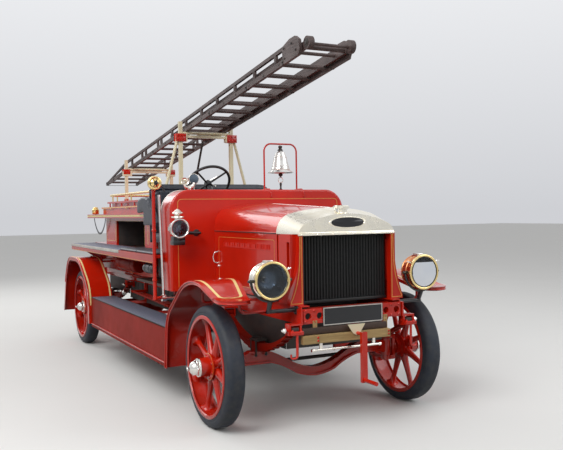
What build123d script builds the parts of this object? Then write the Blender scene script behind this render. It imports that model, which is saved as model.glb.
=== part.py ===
from build123d import *
import math
import os

# Open fire engine of the early 1920s with a wooden extension ladder on two gantries.
# Millimetres. +X forward, +Y the vehicle's left, +Z up. The wheels stand on Z = 0.

# Driving dimensions
overall_length = 6720       # ladder heel to starting handle grip
wheelbase = 4417
front_axle_x = 2450         # from the middle of the overall length
rear_axle_x = front_axle_x - wheelbase
wheel_radius = 460          # over the solid rubber tyre
front_x = overall_length / 2
rear_x = -overall_length / 2

# Clearances
seat_gap = 0.3              # curved face to curved face on one body
running_gap = 0.08          # pin or shaft in its bore

# Wheels and tyres
rim_outer_radius = 389
rim_width = 152
tyre_width = 146
front_rim_plane = 943       # outer face of the rim from the centre line
rear_rim_plane = 929
spoke_count = 8
hub_radius = 92
front_cap_reach = 142       # hub cap's tip beyond the rim's outer face
rear_cap_reach = 66
cap_depth = 96              # cap's tip to the end of the stub's bore

# Front axle and steering
king_pin_y = 700
king_pin_radius = 18
stub_radius = 32
axle_pad_z = 545            # spring seat on the axle beam
axle_dip_z = 372            # top of the beam at its middle
axle_depth = 72
axle_thickness = 74
axle_rim = 15
axle_recess = 24
steer_arm = 200             # king pin to track rod pin
track_rod_z = 402
track_rod_radius = 15

# Chassis frame
rail_y = 430                # outer face of each side member's web
rail_bottom = 812
rail_top = 945
rail_flange = 70
rail_skin = 8
frame_front = front_axle_x + 600
crossmember_skin = 18
handle_z = 728              # starting handle shaft
handle_radius = 14
plank_bottom = 680
rod_z = 630                 # rod hung under the plank
frame_rear = rear_axle_x - 760
spring_y = 490
spring_width = 65
leaf_thickness = 9
front_spring_half = 590
rear_spring_half = 720
spring_eye_radius = 26
spring_pin_radius = 12
hanger_reach = 36           # spring's half span to the hanger's outer face

# Radiator and bonnet
radiator_front = front_axle_x + 550
radiator_rear = front_axle_x + 300
pillar_inner = 382
pillar_top_half = 415
pillar_foot_half = 490
core_bottom = rail_top + seat_gap
shell_base = 1447
shell_crown = 1605
tank_floor = shell_base + 12
bonnet_half = 466
bonnet_seam = 1467
bonnet_front_crown = 1652
bonnet_rear_crown = 1710
bonnet_skin = 5
bonnet_bottom = 962
hinge_radius = 5
seam_radius = 4
hinge_gap = 0.4

# Scuttle and cab
scuttle_front = front_axle_x - 950
scuttle_rear = front_axle_x - 1205
scuttle_half = 876
scuttle_top = 1833
scuttle_corner = 190
scuttle_wall = 22
scuttle_round = 18
scuttle_bottom = rail_top
floor_skin = 24
floor_top = rail_top + floor_skin
seat_front = front_axle_x - 1560
seat_back_front = front_axle_x - 2130
tub_rear = front_axle_x - 2480
seat_top = 1440
seat_half = 690
seat_back_top = 1950

# Steering column and wheel
lever_y = 905               # hand brake lever outside the cab
siren_y = 958
column_y = -350
column_rake = math.radians(42)
wheel_hub_x = front_axle_x - 1390
wheel_hub_z = 1899
steering_rim_radius = 212
steering_rim_section = 13
column_radius = 22

# Guards and running boards
guard_outer = 1000
guard_inner = 640
rear_guard_outer = 1020
rear_guard_inner = 740
guard_skin = 6
guard_front_z = 1006        # flat of the front guard ahead of the wheel
rear_guard_front = rear_axle_x + 862
guard_lip = 46
board_inner = 722
board_outer = 990
board_top = 659
board_skin = 34
guard_heel = 785            # guard sheet behind the axle at the valance's foot
guard_heel_lean = 43        # how far it leans forward up to the board
board_front = front_axle_x - guard_heel + 20
board_rear = rear_guard_front + seat_gap
valance_bottom = 324
valance_skin = 6

# Body box, tiers and benches
body_front = front_axle_x - 2250
body_rear = rear_axle_x - 570
body_half = 600
body_wall = 25
body_floor = rail_top
body_top = 1580
locker_floor = 1225
upper_rear = rear_axle_x + 57   # the body above the bench line is shorter
locker_front = front_axle_x - 2650
locker_rear = front_axle_x - 3860
locker_top = 1545
shelf_skin = 48
tub_bottom = body_top + shelf_skin + seat_gap   # seat sides behind the backrest
shelf_half = 700
tiers_height = 210          # shelf's underside to the top board's upper face
tiers_top = body_top + tiers_height
rail_half = 470             # brass rail round the top board
rail_height = 82
bench_outer = 955
bench_top = 1254
bench_skin = 30
bench_rear = rear_axle_x - 373
bench_front = front_axle_x - 1215
pad_rear = front_axle_x - 2410
pad_thickness = 24

# Gantries and ladder
gantry_front_x = front_axle_x - 2330
gantry_rear_x = rear_axle_x - 13
gantry_post = 38
gantry_front_half = 290     # post centre from the centre line
gantry_rear_half = 307
roller_radius = 15
post_reach = 105            # posts above the ladder's underside
ladder_slope = math.radians(7.25)
ladder_heel_z = 2053
ladder_half = 236
ladder_length = 6100
string_depth = 42
string_width = 28
rung_pitch = 295
rung_radius = 14
truss_depth = 113           # underside to the top rail's lower edge
truss_rail = 30
cheek_length = 265
truss_posts = (900, 1380, 1850, 2010, 2510, 2640, 3040, 3510, 3980, 4410, 4850, 5280, 5700)
fly_half = 198
fly_string = 26
fly_gap = 0.6               # fly strings above the main section's rungs
fly_length = 3200
fly_depth = 60
head_wheel_radius = 52

# Pump
inlet_radius = 55
outlet_radius = 30

# Lamps and bell
headlamp_y = 655
headlamp_x = front_axle_x + 615
headlamp_z = 1140
headlamp_radius = 136
side_lamp_y = 850
side_lamp_x = front_axle_x - 768
side_lamp_z = 1495
side_lamp_radius = 86
bell_x = front_axle_x - 1085
bell_y = 270
bell_mouth_z = 1994
bell_mouth_radius = 122
hoop_top = 2268
hoop_half = 171
hoop_bend = 72
mirror_radius = 50


def block(x0, x1, y0, y1, z0, z1):
    """A box between two corners."""
    return Pos(x0, y0, z0) * Box(x1 - x0, y1 - y0, z1 - z0, align=(Align.MIN,) * 3)


def bar(start, end, radius, end_radius=None):
    """A round bar, or a tapered one, from start to end."""
    start, end = Vector(start), Vector(end)
    place = Plane(origin=start, z_dir=end - start).location
    low = (Align.CENTER, Align.CENTER, Align.MIN)
    if end_radius is None:
        return place * Cylinder(radius, (end - start).length, align=low)
    return place * Cone(radius, end_radius, (end - start).length, align=low)


def pipe(points, bend, radius):
    """A round tube: straight bars between the points, joined by round elbows of radius bend."""
    points = [Vector(*point) for point in points]
    bends = bend if isinstance(bend, list) else [bend] * (len(points) - 2)
    parts = []
    start = points[0]
    for index in range(1, len(points) - 1):
        corner = points[index]
        before = (corner - points[index - 1]).normalized()
        after = (points[index + 1] - corner).normalized()
        turn = math.radians(before.get_angle(after))
        cut = bends[index - 1] * math.tan(turn / 2)
        elbow_start = corner - before * cut
        hinge = before.cross(after).normalized()
        centre = elbow_start + hinge.cross(before) * bends[index - 1]
        section = Plane(origin=elbow_start, z_dir=before) * Circle(radius)
        parts.append(bar(start, elbow_start, radius))
        parts.append(revolve(section, Axis(centre, hinge), math.degrees(turn)))
        start = corner + after * cut
    parts.append(bar(start, points[-1], radius))
    return fused(parts)


def prism(points, depth, plane):
    """A closed outline of straight lines, pushed out of its plane."""
    return extrude(plane * make_face(Polyline(*points, close=True)), depth)


def side_plane(y):
    """The XZ plane at y, in which a point is (x, z) and extrusion runs towards -Y."""
    return Plane(origin=(0, y, 0), x_dir=(1, 0, 0), z_dir=(0, -1, 0))


def front_plane(x):
    """The YZ plane at x, in which a point is (y, z) and extrusion runs towards +X."""
    return Plane(origin=(x, 0, 0), x_dir=(0, 1, 0), z_dir=(1, 0, 0))


def turned(points, origin, axis):
    """A solid of revolution: each point is (distance along the axis, radius)."""
    axis = Vector(*axis)
    across = Vector(0, 0, 1) if abs(axis.Z) < 0.9 else Vector(1, 0, 0)
    plane = Plane(origin=origin, x_dir=axis, z_dir=axis.cross(across))
    face = plane * make_face(Polyline(*points, close=True))
    return revolve(face, Axis(origin, axis), 360)


def fused(shapes):
    """One solid from touching pieces."""
    shapes = list(shapes)
    return shapes[0].fuse(*shapes[1:]) if len(shapes) > 1 else shapes[0]


def both_sides(shape):
    """The right-hand piece and its mirror image, side by side in one part."""
    return Compound([shape, mirror(shape, Plane.XZ)])


def save(shape, name):
    export_step(shape, f"parts/{name}.step")


# Wheels

def tyre(x, plane_y, side):
    """Solid rubber tyre with rounded shoulders, stretched on the rim."""
    middle = plane_y - rim_width / 2
    half = tyre_width / 2
    inner = rim_outer_radius + seat_gap
    shoulder = wheel_radius - 22
    outline = [(middle - half, inner), (middle + half, inner), (middle + half, shoulder),
               (middle + half - 24, wheel_radius), (middle - half + 24, wheel_radius),
               (middle - half, shoulder)]
    return turned([(along, radius) for along, radius in outline], (x, 0, wheel_radius), (0, side, 0))


def wheel(x, plane_y, side, cap_reach):
    """Cast wheel: deep rim, eight tapered spokes, hub barrel and brass cap."""
    centre = (x, 0, wheel_radius)
    middle = plane_y - rim_width / 2
    inner_face = plane_y - rim_width
    rim = turned([(inner_face, rim_outer_radius), (plane_y, rim_outer_radius),
                  (plane_y, rim_outer_radius - 26),
                  (plane_y - 14, rim_outer_radius - 26), (plane_y - 20, rim_outer_radius - 14),
                  (inner_face + 20, rim_outer_radius - 14), (inner_face + 14, rim_outer_radius - 26),
                  (inner_face, rim_outer_radius - 26)], centre, (0, side, 0))
    tip = plane_y + cap_reach
    nose = tip - cap_depth
    bore = stub_radius + running_gap
    hub = turned([(inner_face - 4, bore), (inner_face - 4, hub_radius - 26),
                  (middle - 40, hub_radius - 20),
                  (middle - 34, hub_radius), (middle + 34, hub_radius), (middle + 40, hub_radius - 18),
                  (nose, hub_radius - 24), (nose, 66), (tip - 52, 66), (tip - 34, 58), (tip - 20, 38),
                  (tip - 16, 21), (tip, 19), (tip, 0), (nose, 0), (nose, bore)], centre, (0, side, 0))
    spokes = []
    for index in range(spoke_count):
        angle = math.radians(360 / spoke_count * (index + 0.5))
        reach = Vector(math.cos(angle), 0, math.sin(angle))
        root = Vector(x, side * middle, wheel_radius) + reach * (hub_radius - 12)
        end = Vector(x, side * middle, wheel_radius) + reach * (rim_outer_radius - 10)
        spokes.append(bar((root.X, root.Y, root.Z), (end.X, end.Y, end.Z), 34, 24))
    return fused([rim, hub] + spokes)


# Front axle, knuckles and track rod

def axle_face():
    """The dropped beam's outline in (y, z), curved down from the spring seats to its middle."""
    top = [(0, axle_dip_z), (112, axle_dip_z + 22), (216, axle_dip_z + 64), (322, axle_dip_z + 124),
           (430, axle_pad_z), (570, axle_pad_z), (640, axle_pad_z - 30)]
    bottom = [(640, axle_pad_z - 105), (400, axle_pad_z - 105), (285, axle_dip_z + 28),
              (180, axle_dip_z - 34),
              (96, axle_dip_z - 60), (0, axle_dip_z - axle_depth)]
    edges = []
    for side in (1, -1):
        high = [(side * y, z) for y, z in top]
        low = [(side * y, z) for y, z in bottom]
        edges += [ThreePointArc(*high[:3]), ThreePointArc(*high[2:5]),
                  Polyline(*high[4:], low[0], low[1]),
                  ThreePointArc(*low[1:4]), ThreePointArc(*low[3:])]
    return make_face(edges)


def front_axle():
    """Forged I-section beam with spring pads and king pins."""
    boss_low, boss_high = axle_pad_z - 150, axle_pad_z - 10
    parts = []
    face = axle_face()
    beam = extrude(front_plane(front_axle_x - axle_thickness / 2) * face, axle_thickness)
    web = offset(face, -axle_rim)
    for start in (-axle_thickness / 2, axle_thickness / 2 - axle_recess):
        beam -= extrude(front_plane(front_axle_x + start) * web, axle_recess)
    parts.append(beam)
    for side in (1, -1):
        boss = bar((front_axle_x, side * king_pin_y, boss_low),
                   (front_axle_x, side * king_pin_y, boss_high), 38)
        arm = block(front_axle_x - 30, front_axle_x + 30, min(side * 630, side * 680),
                    max(side * 630, side * 680),
                    boss_low + 30, boss_high - 10)
        pin = bar((front_axle_x, side * king_pin_y, boss_low - 46),
                  (front_axle_x, side * king_pin_y, boss_high + 46),
                  king_pin_radius)
        parts += [boss, arm, pin]
    return fused(parts)


def knuckle(side):
    """Forked knuckle with its stub axle and the arm to the track rod."""
    x, y = front_axle_x, side * king_pin_y
    boss_low, boss_high = axle_pad_z - 150, axle_pad_z - 10
    gap = 3
    ears = []
    for low in (boss_low - gap - 34, boss_high + gap):
        ear = bar((x, y, low), (x, y, low + 34), 36)
        ear += block(x - 32, x + 32, min(y, y + side * 66), max(y, y + side * 66), low, low + 34)
        ears.append(ear)
    web_y = y + side * 52
    web = block(x - 32, x + 32, min(web_y, web_y + side * 26), max(web_y, web_y + side * 26),
                boss_low - gap - 34, boss_high + gap + 34)
    stub_end = side * (front_rim_plane + 30)
    stub = bar((x, web_y + side * 20, wheel_radius), (x, stub_end, wheel_radius), stub_radius)
    collar_end = side * (front_rim_plane - rim_width - 10)
    collar = bar((x, web_y + side * 20, wheel_radius), (x, collar_end, wheel_radius), 48)
    arm_low = boss_low - gap - 34
    arm = block(x - steer_arm, x - 20, y - 15, y + 15, arm_low + 4, arm_low + 26)
    eye = bar((x - steer_arm, y, arm_low + 4), (x - steer_arm, y, arm_low + 26), 24)
    pin = bar((x - steer_arm, y, arm_low + 6), (x - steer_arm, y, track_rod_z + 24), 10)
    bores = bar((x, y, boss_low - 80), (x, y, boss_high + 80), king_pin_radius + running_gap)
    return fused(ears + [web, stub, collar, arm, eye, pin]) - bores


def track_rod():
    """Cross tube behind the axle with an eye over each arm's pin."""
    x = front_axle_x - steer_arm
    body = bar((x, -king_pin_y + 20, track_rod_z), (x, king_pin_y - 20, track_rod_z), track_rod_radius)
    for side in (1, -1):
        y = side * king_pin_y
        body += bar((x, y, track_rod_z - 14), (x, y, track_rod_z + 14), 24)
        body -= bar((x, y, track_rod_z - 40), (x, y, track_rod_z + 40), 10 + running_gap)
    return body


# Chassis

def chassis_frame():
    """Two channel side members joined by cross tubes, with board brackets."""
    parts = []
    for side in (1, -1):
        outer, inner = side * rail_y, side * (rail_y - rail_flange)
        lane = (min(outer, inner), max(outer, inner))
        web = (min(outer, outer - side * rail_skin), max(outer, outer - side * rail_skin))
        parts.append(block(frame_rear, frame_front, *web, rail_bottom, rail_top))
        parts.append(block(frame_rear, frame_front, *lane, rail_bottom, rail_bottom + rail_skin))
        parts.append(block(frame_rear, frame_front, *lane, rail_top - rail_skin, rail_top))
    middle = (rail_bottom + rail_top) / 2
    reach = rail_y - 4
    for x in (front_axle_x - 950, front_axle_x - 2100, rear_axle_x + 1050, rear_axle_x + 240,
              body_rear + 60):
        parts.append(bar((x, -reach, middle), (x, reach, middle), 38))
    for x in (board_front - 465, (board_front + board_rear) / 2, board_rear + 330):
        for side in (1, -1):
            y0, y1 = sorted((side * (rail_y - 2), side * (board_outer - 60)))
            low = board_top - board_skin - 30
            parts.append(block(x - 22, x + 22, y0, y1, low, low + 30))
            hanger = sorted((side * (rail_y - 2), side * (rail_y + 14)))
            parts.append(block(x - 22, x + 22, *hanger, low, rail_bottom + 60))
    return fused(parts)


def leaf_spring(x, half_span, pad_z, leaves):
    """A stack of curved leaves on its axle pad, with an eye at each end of the top leaf."""
    base = pad_z + seat_gap
    stack = leaves * leaf_thickness
    eye_z = rail_bottom - 40
    camber = eye_z - (base + stack)
    radius = (half_span ** 2 + camber ** 2) / (2 * camber)
    top = base + stack
    parts = []
    for index in range(leaves):
        share = 1 - index / (leaves + 0.6)
        angle = math.asin(half_span / radius) * share
        high, low = radius + index * leaf_thickness, radius + (index + 1) * leaf_thickness
        upper, lower = ([(x + r * math.sin(turn), top + radius - r * math.cos(turn))
                         for turn in (-angle, 0, angle)] for r in (high, low))
        edges = [ThreePointArc(*upper), Line(upper[2], lower[2]), ThreePointArc(*lower),
                 Line(lower[0], upper[0])]
        plane = side_plane(spring_y + spring_width / 2)
        parts.append(extrude(plane * make_face(edges), spring_width))
    low_y, high_y = spring_y - spring_width / 2, spring_y + spring_width / 2
    for end in (-1, 1):
        parts.append(bar((x + end * (half_span + 4), low_y, eye_z + 8),
                         (x + end * (half_span + 4), high_y, eye_z + 8),
                         spring_eye_radius))
    clamp = block(x - 46, x + 46, low_y - 12, high_y + 12, base, top + 10)
    parts.append(clamp)
    spring = fused(parts)
    for end in (-1, 1):
        spring -= bar((x + end * (half_span + 4), low_y - 5, eye_z + 8),
                      (x + end * (half_span + 4), high_y + 5, eye_z + 8),
                      spring_pin_radius + running_gap)
    return spring


def leaf_springs():
    front = leaf_spring(front_axle_x, front_spring_half, axle_pad_z, 7)
    rear = leaf_spring(rear_axle_x, rear_spring_half, wheel_radius + 70, 9)
    return Compound([front, mirror(front, Plane.XZ), rear, mirror(rear, Plane.XZ)])


def spring_hanger(x):
    """Two cheeks and a pin under the side member."""
    pin_z = rail_bottom - 32
    cheek_in = spring_y - spring_width / 2 - 4
    cheek_out = spring_y + spring_width / 2 + 4
    x0, x1 = x + 4 - hanger_reach, x - 4 + hanger_reach
    parts = [block(x0, x1, cheek_in - 14, cheek_in, pin_z - 36, rail_bottom + 2),
             block(x0, x1, cheek_out, cheek_out + 14, pin_z - 36, rail_bottom + 16),
             block(x0, x1, rail_y, cheek_out + 14, rail_bottom + 2, rail_bottom + 16),
             block(x0, x1, rail_y, rail_y + 14, rail_bottom + 2, rail_top - 20),
             bar((x, cheek_in - 20, pin_z), (x, cheek_out + 30, pin_z), spring_pin_radius)]
    return fused(parts)


def spring_hangers():
    places = (front_axle_x + front_spring_half + 4, front_axle_x - front_spring_half - 4,
              rear_axle_x + rear_spring_half + 4, rear_axle_x - rear_spring_half - 4)
    shapes = []
    for x in places:
        hanger = spring_hanger(x)
        shapes += [hanger, mirror(hanger, Plane.XZ)]
    return Compound(shapes)


def front_crossmember():
    """Front plate with lightening holes, a top flange and the lug that carries the starting handle."""
    low, high = rail_bottom + 6, rail_top - 20
    face = frame_front + crossmember_skin
    body = block(frame_front, face, -420, 420, low, high)
    body += block(frame_front - 50, face, -350, 350, high - 12, high)
    body += prism([(-70, low + 4), (70, low + 4), (26, handle_z - 30), (-26, handle_z - 30)], 12,
                  front_plane(frame_front))
    for y in (-382, -287, 287, 382):
        body -= bar((frame_front - 5, y, (low + high) / 2), (face + 10, y, (low + high) / 2), 24)
    return body - bar((frame_front - 5, 0, handle_z), (face + 10, 0, handle_z),
                      handle_radius + running_gap)


def rear_axle():
    """Axle tubes with the bevel casing in the middle."""
    centre = (rear_axle_x, 0, wheel_radius)
    span = rear_rim_plane - rim_width - 12
    parts = [turned([(-span, 0), (-span, 52), (-180, 64), (-150, 110), (-90, 165), (90, 165), (150, 110),
                     (180, 64), (span, 52), (span, 0)], centre, (0, 1, 0))]
    stub_end = rear_rim_plane + rear_cap_reach - cap_depth - 16
    parts.append(bar((rear_axle_x, -stub_end, wheel_radius), (rear_axle_x, stub_end, wheel_radius),
                     stub_radius))
    for side in (1, -1):
        y0, y1 = sorted((side * (spring_y - 40), side * (spring_y + 40)))
        parts.append(block(rear_axle_x - 50, rear_axle_x + 50, y0, y1, wheel_radius, wheel_radius + 70))
    parts.append(bar((rear_axle_x + 100, 0, wheel_radius + 10), (rear_axle_x + 260, 0, wheel_radius + 22),
                     80, 50))
    return fused(parts)


def engine_block():
    """The engine as one plain block on two bearers across the side members."""
    block_rear, block_front = front_axle_x - 800, front_axle_x + 330
    body = block(block_rear, block_front, -210, 210, 640, 1350)
    for x in (block_rear + 120, block_front - 120):
        body += block(x - 35, x + 35, -rail_y + 12, rail_y - 12, rail_top, rail_top + 22)
    return body


def transmission():
    """Gearbox and propeller shaft down to the rear axle."""
    front, rear = front_axle_x - 1150, front_axle_x - 1700
    box = block(rear, front, -170, 170, 640, 925)
    reach = rail_y - rail_skin - seat_gap
    arms = block(front - 160, front - 90, -reach, reach, 850, 900)
    shaft = bar((rear + 20, 0, 700), (rear_axle_x + 260.9, 0, wheel_radius + 22), 34)
    joint_front = bar((rear + 10, 0, 701), (rear - 90, 0, 696), 62)
    return fused([box, arms, shaft, joint_front])


# Radiator and bonnet

def arch(x, half, base, crown, shoulder, crown_radius, floor):
    """Arch outline at x: upright sides, round shoulders and a shallow crown."""
    lift = crown - crown_radius + math.sqrt((crown_radius - shoulder) ** 2 - (half - shoulder) ** 2)
    hub = (half - shoulder, lift)
    top_hub = (0, crown - crown_radius)
    dy, dz = hub[0] - top_hub[0], hub[1] - top_hub[1]
    size = math.hypot(dy, dz)
    meet = (hub[0] + dy / size * shoulder, hub[1] + dz / size * shoulder)
    mid_angle = math.atan2(dz, dy) / 2
    mid = (hub[0] + shoulder * math.cos(mid_angle), hub[1] + shoulder * math.sin(mid_angle))
    edges = [Line((-half, floor), (half, floor)), Line((half, floor), (half, lift)),
             ThreePointArc((half, lift), mid, meet),
             ThreePointArc(meet, (0, crown), (-meet[0], meet[1])),
             ThreePointArc((-meet[0], meet[1]), (-mid[0], mid[1]), (-half, lift)),
             Line((-half, lift), (-half, floor))]
    return front_plane(x) * make_face(edges)


def radiator_shell():
    """Polished top tank, widening back to the bonnet, with its filler cap."""
    front = arch(radiator_front, pillar_top_half, shell_base, shell_crown, 90, 900, shell_base - 60)
    rear = arch(radiator_rear, bonnet_half + 4, bonnet_seam, bonnet_front_crown, 150, 1500,
                shell_base - 60)
    tank = loft([front, rear], ruled=True)
    tank -= block(radiator_rear - 1, radiator_front + 1, -600, 600, 1300, tank_floor)
    neck_x = radiator_front - 70
    cap = turned([(0, 0), (0, 34), (46, 34), (46, 52), (62, 52), (70, 40), (70, 0)],
                 (neck_x, 0, shell_crown - 10), (0, 0, 1))
    return tank + cap


def radiator_core():
    """Upright gilled tubes in front of a plain core block."""
    tube_count = 24
    width = 2 * (pillar_inner - 4)
    pitch = width / tube_count
    front = radiator_front - 25
    back = front - 110
    outline = [(back, -width / 2)]
    for index in range(tube_count):
        y = -width / 2 + index * pitch
        outline += [(front - 24, y + 0.18 * pitch), (front, y + 0.36 * pitch), (front, y + 0.64 * pitch),
                    (front - 24, y + 0.82 * pitch)]
    outline.append((back, width / 2))
    return prism(outline, tank_floor - core_bottom, Plane(origin=(0, 0, core_bottom)))


def radiator_pillars():
    """Cast side pillars, flared at the foot, each with a slot in its side."""
    foot = rail_top
    top = tank_floor
    edges = [Line((pillar_inner, foot), (pillar_foot_half, foot)),
             Line((pillar_foot_half, foot), (pillar_foot_half, foot + 26)),
             ThreePointArc((pillar_foot_half, foot + 26), (pillar_top_half + 26, foot + 190),
                           (pillar_top_half, top)),
             Line((pillar_top_half, top), (pillar_inner, top)),
             Line((pillar_inner, top), (pillar_inner, foot))]
    column = extrude(front_plane(radiator_front - 52) * make_face(edges), 52)
    side = block(radiator_rear, radiator_front - 50, bonnet_half - 60, bonnet_half - 8, foot, tank_floor)
    slot_x = radiator_front - 85
    slot = block(slot_x - 22, slot_x + 22, 300, 600, 1085, 1400)
    return both_sides(column + side - slot)


def bonnet_shape(inset):
    """The bonnet's arched roof as a solid, rising towards the scuttle, smaller all round by inset."""
    start = radiator_rear + 5
    section = arch(start, bonnet_half - inset, bonnet_seam, hinge_height(start) - inset, 150 - inset,
                   1500 - inset,
                   bonnet_seam - 120)
    reach = Vector(scuttle_front - 5 - start, 0, hinge_height(scuttle_front - 5) - hinge_height(start))
    return extrude(section, reach.length, dir=reach)


def bonnet_hinge():
    """Centre rod on which both roof halves turn."""
    drop = bonnet_skin / 2
    rod = bar((radiator_rear + 20, 0, hinge_height(radiator_rear + 20) - drop),
              (scuttle_front - 20, 0, hinge_height(scuttle_front - 20) - drop), hinge_radius)
    return rod & block(scuttle_front, radiator_rear, -50, 50, 1500, 2000)


def hinge_height(x):
    """Crown of the bonnet at x."""
    share = (radiator_rear - x) / (radiator_rear - scuttle_front)
    return bonnet_front_crown + share * (bonnet_rear_crown - bonnet_front_crown)


def bonnet_top(side):
    """One half of the arched roof, from the centre hinge to the rod at the side seam."""
    skin = bonnet_shape(0) - bonnet_shape(bonnet_skin)
    y0, y1 = sorted((side * (hinge_radius + hinge_gap), side * 600))
    half = skin & block(scuttle_front + 2, radiator_rear - 2, y0, y1, bonnet_seam, 2000)
    seam_y = side * (bonnet_half - bonnet_skin / 2)
    return half + bar((scuttle_front + 2, seam_y, bonnet_seam), (radiator_rear - 2, seam_y, bonnet_seam),
                      seam_radius)


def bonnet_side(side):
    """Flat side panel with a row of pressed louvres."""
    front, rear = radiator_rear - 2, scuttle_front + 2
    outer, inner = side * bonnet_half, side * (bonnet_half - bonnet_skin)
    lane = sorted((outer, inner))
    panel = block(rear, front, *lane, bonnet_bottom, bonnet_seam - seam_radius - hinge_gap)
    parts = [panel]
    louvre_first, louvre_pitch, louvre_count = front_axle_x - 735, 52, 18
    for index in range(louvre_count):
        x = louvre_first + index * louvre_pitch
        outline = [(x, outer - side), (x + 34, outer - side), (x + 6, outer + side * 8)]
        parts.append(prism(outline, 42, Plane(origin=(0, 0, 1330))))
    return fused(parts)


# Scuttle and cab

def scuttle_outline(x, inset):
    """Upright panel with rounded top corners, smaller all round by inset."""
    return front_plane(x) * RectangleRounded(2 * (scuttle_half - inset), 2 * (scuttle_top - inset),
                                             scuttle_corner - inset)


def scuttle():
    """Wide hollow scuttle with a rounded front edge, open to the cab, with a bulkhead at its front."""
    depth = scuttle_front - scuttle_rear
    outer = extrude(scuttle_outline(scuttle_rear, 0), depth)
    outer &= block(scuttle_rear, scuttle_front, -1000, 1000, scuttle_bottom, 2000)
    edges = outer.faces().sort_by(Axis.X)[-1].edges().sort_by(Axis.Z)[1:]
    outer = fillet(edges, scuttle_round)
    inner = extrude(scuttle_outline(scuttle_rear - 5, scuttle_wall), depth + 5 - scuttle_wall)
    body = outer - inner
    slope = math.tan(column_rake)
    bulkhead_x = scuttle_front
    hole_z = wheel_hub_z - (bulkhead_x - wheel_hub_x) * slope
    body -= bar((bulkhead_x - 80, column_y, hole_z + 80 * slope),
                (bulkhead_x + 80, column_y, hole_z - 80 * slope),
                column_radius + 6)
    return body


def cab_floor():
    """Floor boards with the seat box standing on them."""
    boards = block(body_front + 4, scuttle_front - scuttle_wall - 4, -scuttle_half + 60,
                   scuttle_half - 60,
                   floor_top - floor_skin, floor_top)
    box_top = seat_top - 110
    box = block(seat_back_front - 60, seat_front, -body_half, body_half, floor_top, box_top)
    box -= block(seat_back_front - 40, seat_front - 22, -body_half + 22, body_half - 22, floor_top - 1,
                 box_top - 22)
    return boards + box


def seat_cushion():
    return block(seat_back_front + 8, seat_front + 20, -seat_half + 12, seat_half - 12,
                 seat_top - 110 + seat_gap,
                 seat_top)


def seat_back():
    """Padded back with tub sides: high and rounded behind, sloping down to the arms in front."""
    rear, top, arm = seat_back_front - 110, seat_back_top, seat_top + 50
    back = block(rear, seat_back_front, -seat_half, seat_half, seat_top - 110 + seat_gap, top)
    back = fillet(back.edges().filter_by(Axis.X).group_by(Axis.Z)[-1], 130)
    outline = [(rear, arm), (seat_back_front + 330, arm), (seat_back_front + 330, arm + 60),
               (seat_back_front + 40, top - 150), (rear - 30, top - 130), (tub_rear + 60, top - 150),
               (tub_rear + 10, top - 185), (tub_rear, tub_bottom), (rear, tub_bottom)]
    wing_in, wing_out = seat_half - 5, seat_half + 55
    wings = [prism(outline, wing_out - wing_in, side_plane(y)) for y in (wing_out, -wing_in)]
    return fused([back] + wings)


def column_point(distance):
    """A point on the steering column, measured forward and down from the wheel hub."""
    return (wheel_hub_x + distance * math.cos(column_rake), column_y,
            wheel_hub_z - distance * math.sin(column_rake))


def steering_column():
    """Column tube with the steering box at its foot."""
    tube = bar(column_point(31 + seat_gap), column_point(1180), column_radius)
    foot = column_point(1180)
    box = block(foot[0] - 90, foot[0] + 90, column_y - 44, column_y + 60, rail_top, foot[2] + 70)
    return tube + box


def steering_wheel():
    """Four-spoked wheel with a round rim."""
    axis = (-math.cos(column_rake), 0, math.sin(column_rake))
    hub_origin = Vector(*column_point(0))
    plane = Plane(origin=hub_origin, x_dir=(0, 1, 0), z_dir=axis)
    rim = plane * Torus(steering_rim_radius, steering_rim_section)
    hub = plane * Pos(0, 0, -6) * Cylinder(34, 50)
    parts = [rim, hub]
    for index in range(4):
        turn = math.radians(45 + 90 * index)
        end = plane.from_local_coords((steering_rim_radius * math.cos(turn),
                                       steering_rim_radius * math.sin(turn), 0))
        parts.append(bar((hub_origin.X, hub_origin.Y, hub_origin.Z), (end.X, end.Y, end.Z), 9))
    return fused(parts)


def hand_brake():
    """Tall outside lever on a cross shaft from the side member."""
    shaft_x, shaft_z = front_axle_x - 1080, 880
    lever = pipe([(shaft_x, -lever_y, shaft_z), (shaft_x - 40, -lever_y, 1300),
                  (shaft_x - 90, -lever_y, 1790)], 300, 12)
    shaft = bar((shaft_x, -rail_y - seat_gap, shaft_z), (shaft_x, -lever_y - 14, shaft_z), 18)
    boss = bar((shaft_x, -lever_y + 18, shaft_z), (shaft_x, -lever_y - 18, shaft_z), 30)
    return fused([lever, shaft, boss])


# Guards, boards and valances

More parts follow.
